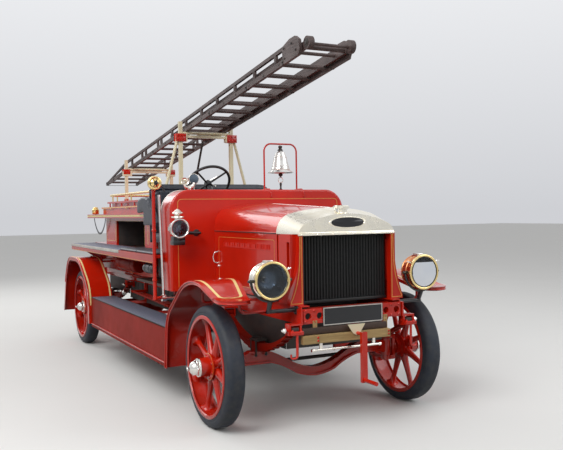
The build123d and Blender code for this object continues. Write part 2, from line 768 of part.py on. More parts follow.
def front_guard():
    """Right front guard: a flared arch with a turned-down lip all round."""
    foot, heel = valance_bottom - 120, -guard_heel
    line = [(heel, foot), (heel, valance_bottom), (-738, 772), (-174, 1172), (377, guard_front_z),
            (800, guard_front_z)]
    line = [(front_axle_x + x, z) for x, z in line]
    path = FilletPolyline(*line, radius=[300, 330, 640, 500])
    closing = Polyline(line[-1], (line[-1][0], foot), line[0])
    area = make_face([path, closing])
    plan_points = [(front_axle_x - 900, -guard_outer), (front_axle_x + 575, -guard_outer),
                   (front_axle_x + 530, -guard_outer + 220), (front_axle_x - 60, -guard_inner),
                   (front_axle_x - 900, -guard_inner)]
    plan = make_face(Polyline(*plan_points, close=True))
    plan = fillet(plan.vertices().sort_by(Axis.X)[-1], 130)
    plan = fillet(plan.vertices().sort_by(Axis.X)[-1], 60)
    deep = side_plane(0)
    outer = extrude(deep * area, 1200) - extrude(deep * offset(area, -guard_lip), 1200)
    hollow = extrude(deep * offset(area, -guard_skin), 1200)
    outer &= extrude(plan, 1300)
    hollow &= extrude(offset(plan, -guard_skin), 1300)
    guard = outer - hollow
    under = extrude(deep * area, 1200)
    for x in (front_axle_x - 430, front_axle_x + 330):
        stay_y = guard_inner + 150
        guard += bar((x, -rail_y - seat_gap, 890), (x, -stay_y, 890), 13)
        guard += bar((x, -stay_y, 880), (x, -stay_y, 1200), 13) & under
    return guard & block(front_axle_x - 900, front_axle_x + 700, -1100, 0, valance_bottom + 4, 1300)


def rear_guard():
    """Right rear guard over the wheel, from the running board to its tail."""
    line = [(rear_guard_front, 250), (rear_guard_front, 760), (rear_axle_x + 330, 1094),
            (rear_axle_x - 290, 1094),
            (rear_axle_x - 490, 818), (rear_axle_x - 680, 250)]
    path = FilletPolyline(*line, radius=[350, 600, 300, 500])
    closing = Polyline(line[-1], line[0])
    area = make_face([path, closing])
    deep = side_plane(-rear_guard_inner)
    width = rear_guard_outer - rear_guard_inner
    shell = extrude(deep * area, width) - extrude(deep * offset(area, -guard_lip), width)
    hollow = extrude(side_plane(-rear_guard_inner - guard_skin) * offset(area, -guard_skin),
                     width - 2 * guard_skin)
    guard = shell - hollow
    for x in (rear_axle_x - 300, rear_axle_x + 300):
        guard += bar((x, -body_half - seat_gap, 1040), (x, -rear_guard_inner - guard_skin / 2, 1040), 13)
    return guard & block(rear_axle_x - 900, rear_axle_x + 900, -1100, 0, 352, 1300)


def running_board():
    return block(board_rear, board_front, -board_outer + valance_skin + seat_gap, -board_inner,
                 board_top - board_skin,
                 board_top)


def side_valance():
    """Red skirt below the running board with a moulding near its lower edge."""
    heel = front_axle_x - guard_heel - 2
    lean = guard_heel_lean * (board_top - valance_bottom) / 436
    outline = [(board_rear + 2, valance_bottom), (heel, valance_bottom), (heel + lean, board_top),
               (board_rear + 2, board_top)]
    skin = prism(outline, valance_skin, side_plane(-board_outer + valance_skin))
    moulding = block(board_rear + 2, heel, -board_outer - 5, -board_outer, valance_bottom + 30,
                     valance_bottom + 44)
    return skin + moulding


# Body

def body_box():
    """Open-sided hose locker behind the seat, on a longer boarded box below the bench line."""
    box = block(body_rear, body_front, -body_half, body_half, body_floor, bench_top)
    box += block(upper_rear, body_front, -body_half, body_half, bench_top, body_top)
    inner = body_half - body_wall
    front = body_front - body_wall
    box -= block(upper_rear + body_wall, front, -inner, inner, locker_floor, body_top - body_wall)
    box -= block(body_rear + body_wall, front, -inner, inner, body_floor - 1, locker_floor - body_wall)
    box -= block(locker_rear, locker_front, -body_half - 1, body_half + 1, locker_floor, locker_top)
    return box


def body_tiers():
    """Wide shelf overhanging the rear, a box with a lid on it, and a top board above a recessed row."""
    box_rear, top_rear = rear_axle_x - 290, rear_axle_x - 275
    rows = ((shelf_half, body_rear + 4, 0, shelf_skin), (body_half - 50, box_rear, shelf_skin, 120),
            (body_half - 32, box_rear - 18, 120, 140),
            (body_half - 150, top_rear + 60, 140, tiers_height - 22),
            (body_half - 100, top_rear, tiers_height - 22, tiers_height))
    return fused(block(rear, body_front - 4, -half, half, body_top + low, body_top + high)
                 for half, rear, low, high in rows)


def side_bench():
    """Board along the body for the crew, with its fascia and brackets."""
    board = block(bench_rear, bench_front, -bench_outer, -body_half - seat_gap, bench_top - bench_skin,
                  bench_top)
    fascia = block(bench_rear, bench_front, -bench_outer, -bench_outer + 18, bench_top - 76,
                   bench_top - bench_skin)
    parts = [board, fascia]
    for x in (bench_rear + 120, (bench_rear + bench_front) / 2 - 300, body_front - 80):
        outline = [(-body_half - seat_gap, bench_top - bench_skin),
                   (-bench_outer + 40, bench_top - bench_skin),
                   (-body_half - seat_gap, bench_top - 240)]
        parts.append(prism(outline, 24, front_plane(x)))
    return fused(parts)


def bench_pad():
    return block(pad_rear, bench_front - 4, -bench_outer + 4, -body_half - 60, bench_top + seat_gap,
                 bench_top + pad_thickness)


def brass_rails():
    """Low brass rail round the rear and sides of the body's top."""
    z = tiers_top + seat_gap
    half = rail_half
    rear, front = rear_axle_x - 250, body_front - 350
    points = [(front, -half, z), (front, -half, z + rail_height), (rear, -half, z + rail_height),
              (rear, half, z + rail_height), (front, half, z + rail_height), (front, half, z)]
    rail = pipe(points, 75, 15)
    for side in (1, -1):
        for x in (rear + 160, (rear + front) / 2):
            rail += bar((x, side * half, z), (x, side * half, z + rail_height), 9)
        rail += bar((rear, side * (half - 100), z), (rear, side * (half - 100), z + rail_height), 9)
    return rail


# Gantries and ladder

def ladder_plane():
    """Ladder frame: X along the ladder from its heel, Y across, Z square off it."""
    c, s = math.cos(ladder_slope), math.sin(ladder_slope)
    return Plane(origin=(rear_x + 10, 0, ladder_heel_z), x_dir=(c, 0, s), z_dir=(-s, 0, c))


def ladder_height(x):
    """Underside of the ladder at x."""
    return ladder_heel_z + (x - rear_x - 10) * math.tan(ladder_slope)


def gantry(x, post_y):
    """Two posts joined by a cross beam with the roller on it and a clamp plate under each ladder string."""
    ladder_z = ladder_height(x)
    beam_top = ladder_z - 2 * roller_radius - 8
    half = gantry_post / 2
    parts = [block(x - half, x + half, -post_y, post_y, beam_top - 26, beam_top),
             gantry_roller(x, post_y - 10)]
    for side in (1, -1):
        y = side * post_y
        parts.append(block(x - half, x + half, y - half, y + half, tiers_top, ladder_z + post_reach))
        y0, y1 = sorted((side * (post_y - 70), side * (post_y + 45)))
        parts.append(block(x - half - 8, x + half + 8, y0, y1, beam_top - 66, beam_top + 2))
    return fused(parts)


def gantry_roller(x, half_span):
    """Roller under the ladder, square to its strings."""
    z = ladder_height(x) - (roller_radius + seat_gap) / math.cos(ladder_slope)
    x += (roller_radius + seat_gap) * math.sin(ladder_slope)
    z += (roller_radius + seat_gap) * math.sin(ladder_slope) * math.tan(ladder_slope)
    return bar((x, -half_span, z), (x, half_span, z), roller_radius)


def gantry_front():
    """Front gantry with two splayed stays on foot plates."""
    parts = [gantry(gantry_front_x, gantry_front_half)]
    for side in (1, -1):
        foot_y = side * (body_half - 114)
        high = (gantry_front_x, side * (gantry_front_half + 36), ladder_height(gantry_front_x) - 90)
        parts.append(bar(high, (gantry_front_x, foot_y, tiers_top + 12), 15))
        parts.append(block(gantry_front_x - 24, gantry_front_x + 24, foot_y - 26, foot_y + 13, tiers_top,
                           tiers_top + 22))
    return fused(parts)


def gantry_rear():
    return gantry(gantry_rear_x, gantry_rear_half)


def ladder_rungs(first, last, half, height):
    """Round rungs at the common pitch."""
    rungs = []
    for index in range(int((last - first) / rung_pitch) + 1):
        x = first + index * rung_pitch
        rungs.append(bar((x, -half, height), (x, half, height), rung_radius))
    return rungs


def ladder_main():
    """Main section: trussed sides with cheeks at the head and rungs between the lower strings."""
    parts = []
    head = ladder_length - cheek_length
    rail_top_z = truss_depth + truss_rail
    for side in (1, -1):
        y0, y1 = sorted((side * ladder_half, side * (ladder_half - string_width)))
        parts.append(block(0, ladder_length, y0, y1, 0, string_depth))
        outline = [(170, string_depth - 4), (1150, truss_depth), (head + 10, truss_depth),
                   (head + 10, rail_top_z), (1140, rail_top_z), (30, string_depth - 4)]
        parts.append(prism(outline, string_width - 4, side_plane(y1 - 2)))
        cheek = [(head, 2), (ladder_length, 2), (ladder_length + 26, 40), (ladder_length + 14, 118),
                 (ladder_length - 40, rail_top_z + 18), (ladder_length - 130, rail_top_z + 22),
                 (head, rail_top_z - 4)]
        parts.append(prism(cheek, string_width - 2, side_plane(y1 - 1)))
        for x in truss_posts:
            parts.append(block(x - 18, x + 18, y0 + 3, y1 - 3, string_depth - 4, truss_depth + 10))
    parts += ladder_rungs(160, ladder_length - 60, ladder_half - 6, string_depth / 2)
    return ladder_plane().location * fused(parts)


def ladder_fly():
    """Shorter sliding section on the main one's rungs, with a head tube and a wheel at each side."""
    low = string_depth / 2 + rung_radius + fly_gap
    start = ladder_length - fly_length
    head = ladder_length + head_wheel_radius + 34
    parts = [bar((head - 78, -fly_half + 10, low + 26), (head - 78, fly_half - 10, low + 26), 20),
             bar((head, -fly_half + 4, low + 26), (head, fly_half - 4, low + 26), 12)]
    for side in (1, -1):
        y0, y1 = sorted((side * fly_half, side * (fly_half - fly_string)))
        parts.append(block(start, head + 14, y0, y1, low, low + fly_depth))
        wheel_in, wheel_out = side * (fly_half - fly_string - 10), side * (fly_half + 8)
        parts.append(bar((head, wheel_in, low + 30), (head, wheel_out, low + 30), head_wheel_radius))
    parts += ladder_rungs(start + 110, ladder_length - 100, fly_half - 6, low + fly_depth / 2)
    return ladder_plane().location * fused(parts)


# Lamps, bell and fittings

def headlamp():
    """Brass drum lamp, open at the front, in a half-round yoke on a bracket from the side member."""
    x, r = headlamp_x, headlamp_radius
    centre = (x, -headlamp_y, headlamp_z)
    drum = turned([(-185, 0), (-185, 62), (-170, 96), (-140, r - 14), (-24, r - 10), (-22, r), (0, r),
                   (0, r - 16),
                   (-20, r - 18), (-132, r - 22), (-160, 90), (-172, 50), (-172, 0)], centre, (1, 0, 0))
    vent = block(x - 120, x - 50, -headlamp_y - 34, -headlamp_y + 34, headlamp_z + r - 18,
                 headlamp_z + r + 14)
    yoke_x, arm_x, arm_z, y = x - 50, x - 85, rail_top - 30, -headlamp_y
    reach, low = r + 12, headlamp_z - r - 12
    yoke = Pos(yoke_x, y, headlamp_z) * Rot(0, 90, 0) * Torus(reach, 9)
    yoke &= block(yoke_x - 20, yoke_x + 20, y - 2 * r, y + 2 * r, low - 20, headlamp_z)
    pivots = [bar((yoke_x, y + side * (r - 24), headlamp_z),
                  (yoke_x, y + side * (reach + 12), headlamp_z), 13)
              for side in (1, -1)]
    stem = bar((yoke_x, y, low), (arm_x, y, arm_z - 6), 15)
    arm = bar((arm_x, y - 14, arm_z), (arm_x, -rail_y - seat_gap, arm_z), 15)
    return fused([drum, vent, yoke, stem, arm] + pivots)


def side_lamp():
    """Brass oil side lamp with a stepped chimney on a cranked bracket."""
    r = side_lamp_radius
    centre = (side_lamp_x, -side_lamp_y, side_lamp_z)
    drum = turned([(-130, 0), (-130, 52), (-112, 70), (-22, 72), (-20, r), (0, r), (0, r - 14),
                   (-18, r - 18),
                   (-104, 60), (-118, 40), (-118, 0)], centre, (1, 0, 0))
    chimney = turned([(66, 0), (66, 30), (88, 30), (94, 56), (104, 56), (112, 30), (124, 26), (130, 48),
                      (142, 46),
                      (160, 24), (168, 0)], (side_lamp_x - 62, -side_lamp_y, side_lamp_z), (0, 0, 1))
    base = block(side_lamp_x - 110, side_lamp_x - 20, -side_lamp_y - 52, -side_lamp_y + 52,
                 side_lamp_z - 118,
                 side_lamp_z - 64)
    arm = pipe([(side_lamp_x - 62, -side_lamp_y + 40, side_lamp_z - 40),
                (side_lamp_x - 62, -640, side_lamp_z - 40),
                (scuttle_front + 0.3, -640, side_lamp_z - 40)], 30, 11)
    return fused([drum, chimney, base, arm])


def lamp_glasses():
    glasses = []
    for x, y, z, r in ((headlamp_x, headlamp_y, headlamp_z, headlamp_radius - 18),
                       (side_lamp_x, side_lamp_y, side_lamp_z, side_lamp_radius - 17.4)):
        for side in (-1, 1):
            glasses.append(bar((x - 14, side * y, z), (x - 8, side * y, z), r + 0.2))
    return Compound(glasses)


def bell():
    """Polished bell hanging mouth down, with its clapper."""
    r = bell_mouth_radius
    shell = turned([(0, r), (6, r), (34, r - 34), (62, r - 43), (150, r - 62), (190, r - 78),
                    (206, r - 96), (212, 0),
                    (205, 0), (200, r - 98), (185, r - 84), (148, r - 69), (60, r - 50), (32, r - 41),
                    (0, r - 8)],
                   (bell_x, bell_y, bell_mouth_z), (0, 0, 1))
    clapper = bar((bell_x, bell_y, bell_mouth_z + 208), (bell_x, bell_y, bell_mouth_z - 16), 5)
    ball = Pos(bell_x, bell_y, bell_mouth_z - 16) * Sphere(16)
    neck = bar((bell_x, bell_y, bell_mouth_z + 208), (bell_x, bell_y, hoop_top - 8.3), 13)
    return fused([shell, clapper, ball, neck])


def bell_hoop():
    """Thin tube hoop standing on the scuttle."""
    z = scuttle_top + seat_gap
    points = [(bell_x, bell_y - hoop_half, z), (bell_x, bell_y - hoop_half, hoop_top),
              (bell_x, bell_y + hoop_half, hoop_top), (bell_x, bell_y + hoop_half, z)]
    return pipe(points, hoop_bend, 8)


def siren():
    """Hand siren facing forward on its own upright post beside the scuttle."""
    x, z = front_axle_x - 1128, 1895
    drum = turned([(50, 0), (50, 10), (30, 12), (28, 32), (22, 36), (20, 60), (0, 63), (-34, 58),
                   (-52, 34), (-100, 28),
                   (-100, 0)], (x, -siren_y, z), (1, 0, 0))
    post = bar((x - 36, -siren_y, z), (x - 36, -siren_y, 858), 16)
    foot = bar((x - 36, -siren_y - 14, 874), (x - 36, -rail_y - seat_gap, 874), 15)
    return fused([drum, post, foot])


def mirror_disc():
    """Small round mirror on a stem beside the horn."""
    x, y, z = front_axle_x - 1128, -589, 1933
    disc = turned([(-8, 0), (-8, mirror_radius - 12), (0, mirror_radius), (8, mirror_radius),
                   (8, mirror_radius - 5),
                   (4, mirror_radius - 7), (4, 0)], (x, y, z), (1, 0, 0))
    stem = bar((x - 3, y, z - mirror_radius + 6), (x - 3, y, scuttle_top + seat_gap), 5)
    return disc + stem


def bulb_horn():
    """Curled brass horn with its rubber bulb on the scuttle top."""
    x, y = scuttle_front - 60, -640
    z = scuttle_top + 52
    curl = pipe([(x - 60, y - 60, z), (x + 40, y - 60, z), (x + 40, y + 10, z), (x - 110, y + 10, z)],
                30, 9)
    mouth = bar((x - 50, y - 60, z), (x - 130, y - 60, z), 10, 34)
    bulb = Pos(x - 140, y + 10, z) * Sphere(36)
    foot = block(x - 20, x + 10, y - 72, y - 48, scuttle_top + seat_gap, z)
    return fused([curl, mouth, bulb, foot])


def number_plate():
    face = frame_front + crossmember_skin
    return block(face, face + 5, -262, 252, 794, 929)


def starting_handle():
    """Cranked handle hanging below the front crossmember's lug."""
    elbow = front_x - 160
    parts = [bar((frame_front - 60, 0, handle_z), (elbow + 12, 0, handle_z), handle_radius),
             block(elbow - 12, elbow + 12, -24, 24, handle_z - 348, handle_z + 18),
             bar((elbow - 10, 0, handle_z - 330), (front_x, 0, handle_z - 330), 15)]
    return fused(parts)


def lower_board():
    """Wooden plank below the plate on two straps, bored for the starting handle."""
    face = frame_front + crossmember_skin
    plank = block(face + 8, face + 48, -450, 290, plank_bottom, 738)
    for y in (-330, 276):
        plank += block(face, face + 8, y - 16, y + 16, 684, 840)
    plank -= bar((face - 20, 0, handle_z), (face + 90, 0, handle_z), handle_radius + seat_gap)
    return plank


def tow_hooks():
    """Two curved hooks on plates below the hangers, and a short rod hung under the plank."""
    face = front_axle_x + front_spring_half + hanger_reach
    x = face + 24
    hook = pipe([(x, spring_y, 770), (x, spring_y, 585), (x, spring_y - 84, 585),
                 (x, spring_y - 84, 616)], 30, 10)
    hook += block(face + seat_gap, face + 20, spring_y - 50, spring_y + 50, 748, 776)
    rod = bar((x, -366, rod_z), (x, 204, rod_z), 9)
    for y in (-300, 150):
        rod += block(x - 8, x + 8, y - 12, y + 12, rod_z, plank_bottom - seat_gap)
    return Compound([hook, mirror(hook, Plane.XZ), rod])


def pump():
    """Rear pump casing with a suction inlet and two delivery outlets."""
    depth, z = 210, 900
    face = body_rear
    tail = face - depth
    outlet_z = z + 150
    middle = face - depth / 2
    case = turned([(-depth, 0), (-depth, 140), (30 - depth, 190), (-60, 190), (0, 150), (0, 0)],
                  (face, 0, z), (1, 0, 0))
    inlet = turned([(-130, 0), (-130, 88), (-108, 88), (-100, 74), (10, 74), (10, 0)], (tail, 0, z),
                   (1, 0, 0))
    shape = case + inlet
    for side in (1, -1):
        shape += turned([(60, 0), (60, 52), (300, 52), (300, 62), (322, 62), (322, 0)],
                        (middle, 0, outlet_z), (0, side, 0))
    shape -= bar((tail - 131, 0, z), (tail + 40, 0, z), inlet_radius)
    for side in (1, -1):
        shape -= bar((middle, side * 130, outlet_z), (middle, side * 323, outlet_z), outlet_radius)
    return shape


pieces = {
    "chassis_frame": chassis_frame, "leaf_springs": leaf_springs, "spring_hangers": spring_hangers,
    "front_crossmember": front_crossmember, "front_axle": front_axle, "rear_axle": rear_axle,
    "engine_block": engine_block, "transmission": transmission, "track_rod": track_rod,
    "radiator_shell": radiator_shell, "radiator_core": radiator_core,
          "radiator_pillars": radiator_pillars,
    "scuttle": scuttle, "cab_floor": cab_floor, "seat_cushion": seat_cushion, "seat_back": seat_back,
    "steering_column": steering_column, "steering_wheel": steering_wheel, "hand_brake": hand_brake,
    "body_box": body_box, "body_tiers": body_tiers, "gantry_front": gantry_front,
          "gantry_rear": gantry_rear,
    "ladder_main": ladder_main, "ladder_fly": ladder_fly, "lamp_glasses": lamp_glasses, "bell": bell,
    "bell_hoop": bell_hoop, "siren": siren, "bulb_horn": bulb_horn, "bonnet_hinge": bonnet_hinge,
          "brass_rails": brass_rails,
    "mirror": mirror_disc, "tow_hooks": tow_hooks, "number_plate": number_plate,
          "starting_handle": starting_handle,
    "lower_board": lower_board, "pump": pump,
}
paired = {
    "front_guards": front_guard, "rear_guards": rear_guard, "running_boards": running_board,
    "side_valances": side_valance, "side_benches": side_bench, "bench_pads": bench_pad,
    "headlamps": headlamp, "side_lamps": side_lamp,
}

mirrored = {
    "knuckle": lambda: knuckle(-1), "bonnet_top": lambda: bonnet_top(-1),
            "bonnet_side": lambda: bonnet_side(-1),
    "wheel_front": lambda: wheel(front_axle_x, front_rim_plane, -1, front_cap_reach),
    "wheel_rear": lambda: wheel(rear_axle_x, rear_rim_plane, -1, rear_cap_reach),
    "tyre_front": lambda: tyre(front_axle_x, front_rim_plane, -1),
    "tyre_rear": lambda: tyre(rear_axle_x, rear_rim_plane, -1),
}

os.makedirs("parts", exist_ok=True)
for name, make in pieces.items():
    save(make(), name)
for name, make in paired.items():
    save(both_sides(make()), name)
for name, make in mirrored.items():
    shape = make()
    save(shape, f"{name}_right")
    save(mirror(shape, Plane.XZ), f"{name}_left")
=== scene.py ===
import bmesh
import bpy
import math
from mathutils import Matrix, Vector


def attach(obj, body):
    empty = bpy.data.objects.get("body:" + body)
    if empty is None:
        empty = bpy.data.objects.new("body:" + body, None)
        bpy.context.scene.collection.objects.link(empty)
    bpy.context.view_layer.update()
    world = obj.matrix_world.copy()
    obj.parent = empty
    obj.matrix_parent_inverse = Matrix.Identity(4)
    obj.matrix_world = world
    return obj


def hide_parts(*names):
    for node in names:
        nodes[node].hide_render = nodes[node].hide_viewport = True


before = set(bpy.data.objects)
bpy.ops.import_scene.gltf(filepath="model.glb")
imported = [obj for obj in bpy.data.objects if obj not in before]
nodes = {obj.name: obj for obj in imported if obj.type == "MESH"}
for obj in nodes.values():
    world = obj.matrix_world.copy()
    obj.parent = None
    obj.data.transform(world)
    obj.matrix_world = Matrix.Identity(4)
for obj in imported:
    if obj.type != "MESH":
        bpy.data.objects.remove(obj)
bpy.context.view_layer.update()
print("frame loaded with", len(nodes), "nodes")

# Places that several pieces share, in metres. +X forward, +Y the vehicle's left, +Z up.
place = {
    "frontAxle": 2.450, "rearAxle": -1.967, "wheelRadius": 0.460, "frontRim": 0.943, "rearRim": 0.929,
    "scuttleFront": 1.500, "scuttleRear": 1.245, "scuttleHalf": 0.876, "scuttleTop": 1.833,
    "bonnetHalf": 0.466, "bodyHalf": 0.600, "lampX": 3.065, "lampY": 0.655, "lampZ": 1.140,
    "lampRadius": 0.136, "sideLampX": 1.682, "sideLampY": 0.850, "sideLampZ": 1.495,
}
hands = ((-1, "right"), (1, "left"))
memberFace = 0.4303  # outer face of the frame's side members, with the gap of a seat


def srgb(red, green, blue):  # screen colour, 0 to 255, as a linear colour
    def lift(value):
        value /= 255
        return value / 12.92 if value <= 0.04045 else ((value + 0.055) / 1.055) ** 2.4
    return (lift(red), lift(green), lift(blue), 1.0)


# One socket of a material, which sums and products turn into Math nodes.
class Wire:
    def __init__(self, shader, socket):
        self.shader, self.socket = shader, socket

    def math(self, operation, first, second=None):
        return self.shader.add("Math", {"operation": operation}, {0: first, 1: second})

    def __add__(self, other):
        return self.math("ADD", self, other)

    def __sub__(self, other):
        return self.math("SUBTRACT", self, other)

    def __rsub__(self, other):
        return self.math("SUBTRACT", other, self)

    def __mul__(self, other):
        return self.math("MULTIPLY", self, other)

    __radd__ = __add__
    __rmul__ = __mul__


# The nodes of a material or of the sky.
class Graph:
    def __init__(self, tree):
        self.tree = tree

    def add(self, kind, settings=None, values=None, output=0):
        node = self.tree.nodes.new("ShaderNode" + kind)
        for key, value in (settings or {}).items():
            if key == "stops":
                for index, (position, shade) in enumerate(value):
                    while len(node.color_ramp.elements) <= index:
                        node.color_ramp.elements.new(position)
                    node.color_ramp.elements[index].position = position
                    node.color_ramp.elements[index].color = shade if isinstance(shade,
                                                                                tuple) else [shade] * 3 + [1]
            else:
                setattr(node, key, value)
        for key, value in (values or {}).items():
            self.feed(node.inputs[key], value)
        return Wire(self, node.outputs[output])

    def feed(self, socket, value):
        if isinstance(value, Wire):
            self.tree.links.new(value.socket, socket)
        elif value is not None:
            socket.default_value = value

    def ray(self, kind):  # 1 on a ray of that kind
        return self.add("LightPath", {}, {}, f"Is {kind} Ray")


class Shader(Graph):
    def __init__(self, name, **fixed):
        self.material = bpy.data.materials.new(name)
        self.material.use_nodes = True
        super().__init__(self.material.node_tree)
        self.surface = self.tree.nodes["Principled BSDF"]
        for key, value in fixed.items():
            self.surface.inputs[key.replace("_", " ")].default_value = value

    def spot(self, stretch=(1, 1, 1)):  # the point on the piece, stretched to make a grain
        return self.add("Mapping", {}, {"Vector": self.add("TexCoord", {}, {}, "Object"), "Scale": stretch})

    def noise(self, scale, detail=4, stretch=(1, 1, 1), roughness=0.55):
        return self.add("TexNoise", {},
                        {"Vector": self.spot(stretch), "Scale": scale, "Detail": detail,
                         "Roughness": roughness}, 0)

    def ramp(self, value, low, high):  # 0 below low, 1 above high
        return self.add("ValToRGB", {"stops": ((low, 0), (high, 1))}, {"Fac": value})

    def mix(self, share, first, second):
        return self.add("Mix", {"data_type": "RGBA"}, {0: share, 6: first, 7: second}, 2)

    def axis(self, name):  # one coordinate of the point, or of the normal after "N"
        source = self.add("NewGeometry", {}, {}, "Normal") if name[0] == "N" else self.add("TexCoord", {},
                                                                                           {}, "Object")
        return self.add("SeparateXYZ", {}, {0: source}, "XYZ".index(name[-1]))

    def bump(self, height, strength, distance=0.001):
        return self.add("Bump", {}, {"Height": height, "Strength": strength, "Distance": distance})

    def finish(self, **links):
        for key, value in links.items():
            self.feed(self.surface.inputs[key.replace("_", " ")], value)
        return self.material


# Paint, metal, rubber, wood and leather

def enamel(name, colour, dusk, roughness=0.16, coat=1.0, dirt=0.55, shine=0.3):
    shader = Shader(name, Coat_Weight=coat, Coat_Roughness=0.04, Specular_IOR_Level=shine)
    cloud = shader.noise(1.7, 3)
    fine = shader.noise(160, 3)
    low = 1 - shader.ramp(shader.axis("Z"), 0.12, 0.75)
    grime = shader.ramp(shader.noise(7, 6), 0.42, 0.68) * low * dirt
    dust = shader.ramp(shader.axis("NZ"), 0.55, 1.0) * shader.ramp(shader.noise(5, 5), 0.35, 0.8) * 0.06
    base = shader.mix(shader.ramp(cloud, 0.3, 0.75), colour, dusk)
    base = shader.mix(dust, base, srgb(150, 130, 110))
    base = shader.mix(grime, base, srgb(84, 60, 42))
    ripple = shader.noise(9, 2) * 0.6 + fine * 0.05
    return shader.finish(Base_Color=base, Roughness=cloud * 0.08 + grime * 0.5 + roughness,
                         Normal=shader.bump(ripple, 0.25, 0.0022))


def metal(name, colour, stain, roughness=0.14, stained=0.35, scale=14):
    shader = Shader(name, Metallic=1.0)
    patch = shader.ramp(shader.noise(scale, 6), 0.42, 0.78) * stained
    scratch = shader.noise(260, 2, (1, 1, 0.05))
    return shader.finish(Base_Color=shader.mix(patch, colour, stain),
                         Roughness=patch * 0.5 + scratch * 0.07 + roughness,
                         Normal=shader.bump(shader.noise(30, 3) + scratch * 0.2, 0.12, 0.0008))


def plain(name, colour, dusk, roughness=0.5, scale=20, relief=0.2, distance=0.001, stretch=(1, 1, 1)):
    shader = Shader(name)
    cloud = shader.noise(scale, 6, stretch)
    return shader.finish(Base_Color=shader.mix(shader.ramp(cloud, 0.32, 0.72), colour, dusk),
                         Roughness=cloud * 0.2 + (roughness - 0.1),
                         Normal=shader.bump(cloud, relief, distance))


def timber(name, colour, dusk, streak, stretch=(1.5, 26, 26), roughness=0.55):
    shader = Shader(name)
    grain = shader.noise(3.2, 8, stretch, 0.65)
    patch = shader.noise(2.3, 4)
    base = shader.mix(shader.ramp(grain, 0.38, 0.66), colour, dusk)
    base = shader.mix(shader.ramp(patch, 0.45, 0.75) * 0.6, base, streak)
    return shader.finish(Base_Color=base, Roughness=grain * 0.25 + (roughness - 0.1),
                         Normal=shader.bump(grain, 0.5, 0.0016))


def hide(name, colour, dusk):  # creased leather
    shader = Shader(name, Coat_Weight=0.25, Coat_Roughness=0.28)
    crease = shader.add("TexVoronoi", {"feature": "DISTANCE_TO_EDGE"},
                        {"Vector": shader.spot(), "Scale": 170})
    wear = shader.noise(9, 5)
    return shader.finish(Base_Color=shader.mix(shader.ramp(wear, 0.35, 0.75), colour, dusk),
                         Roughness=wear * 0.25 + 0.3,
                         Normal=shader.bump(shader.ramp(crease, 0.0, 0.12) * 0.5 + shader.noise(22, 4),
                                            0.45, 0.0016))


def rubber(name):
    shader = Shader(name)
    patch = shader.noise(6, 6)
    dusty = shader.ramp(shader.noise(18, 8), 0.4, 0.75)
    base = shader.mix(shader.ramp(patch, 0.3, 0.7), srgb(30, 36, 46), srgb(44, 51, 63))
    return shader.finish(Base_Color=shader.mix(dusty * 0.25, base, srgb(92, 88, 80)),
                         Roughness=patch * 0.2 + 0.55,
                         Normal=shader.bump(shader.noise(60, 5) + patch * 0.4, 0.35, 0.0015))


def ribbedMat(name):  # grey ribbed linoleum, its ribs along the vehicle
    shader = Shader(name)
    rib = shader.add("TexWave", {"wave_type": "BANDS", "bands_direction": "Y"},
                     {"Vector": shader.spot(), "Scale": 38})
    speck = shader.noise(240, 3)
    base = shader.mix(shader.ramp(speck, 0.38, 0.64), srgb(62, 64, 78), srgb(128, 132, 152))
    return shader.finish(Base_Color=base, Roughness=speck * 0.2 + 0.5,
                         Normal=shader.bump(rib + speck * 0.4, 0.5, 0.0016))


def glazing(name, tint):
    shader = Shader(name, Transmission_Weight=1.0, IOR=1.46, Roughness=0.02)
    smear = shader.noise(8, 4)
    return shader.finish(Base_Color=shader.mix(smear, tint, srgb(236, 240, 246)),
                         Normal=shader.bump(smear, 0.05, 0.001))


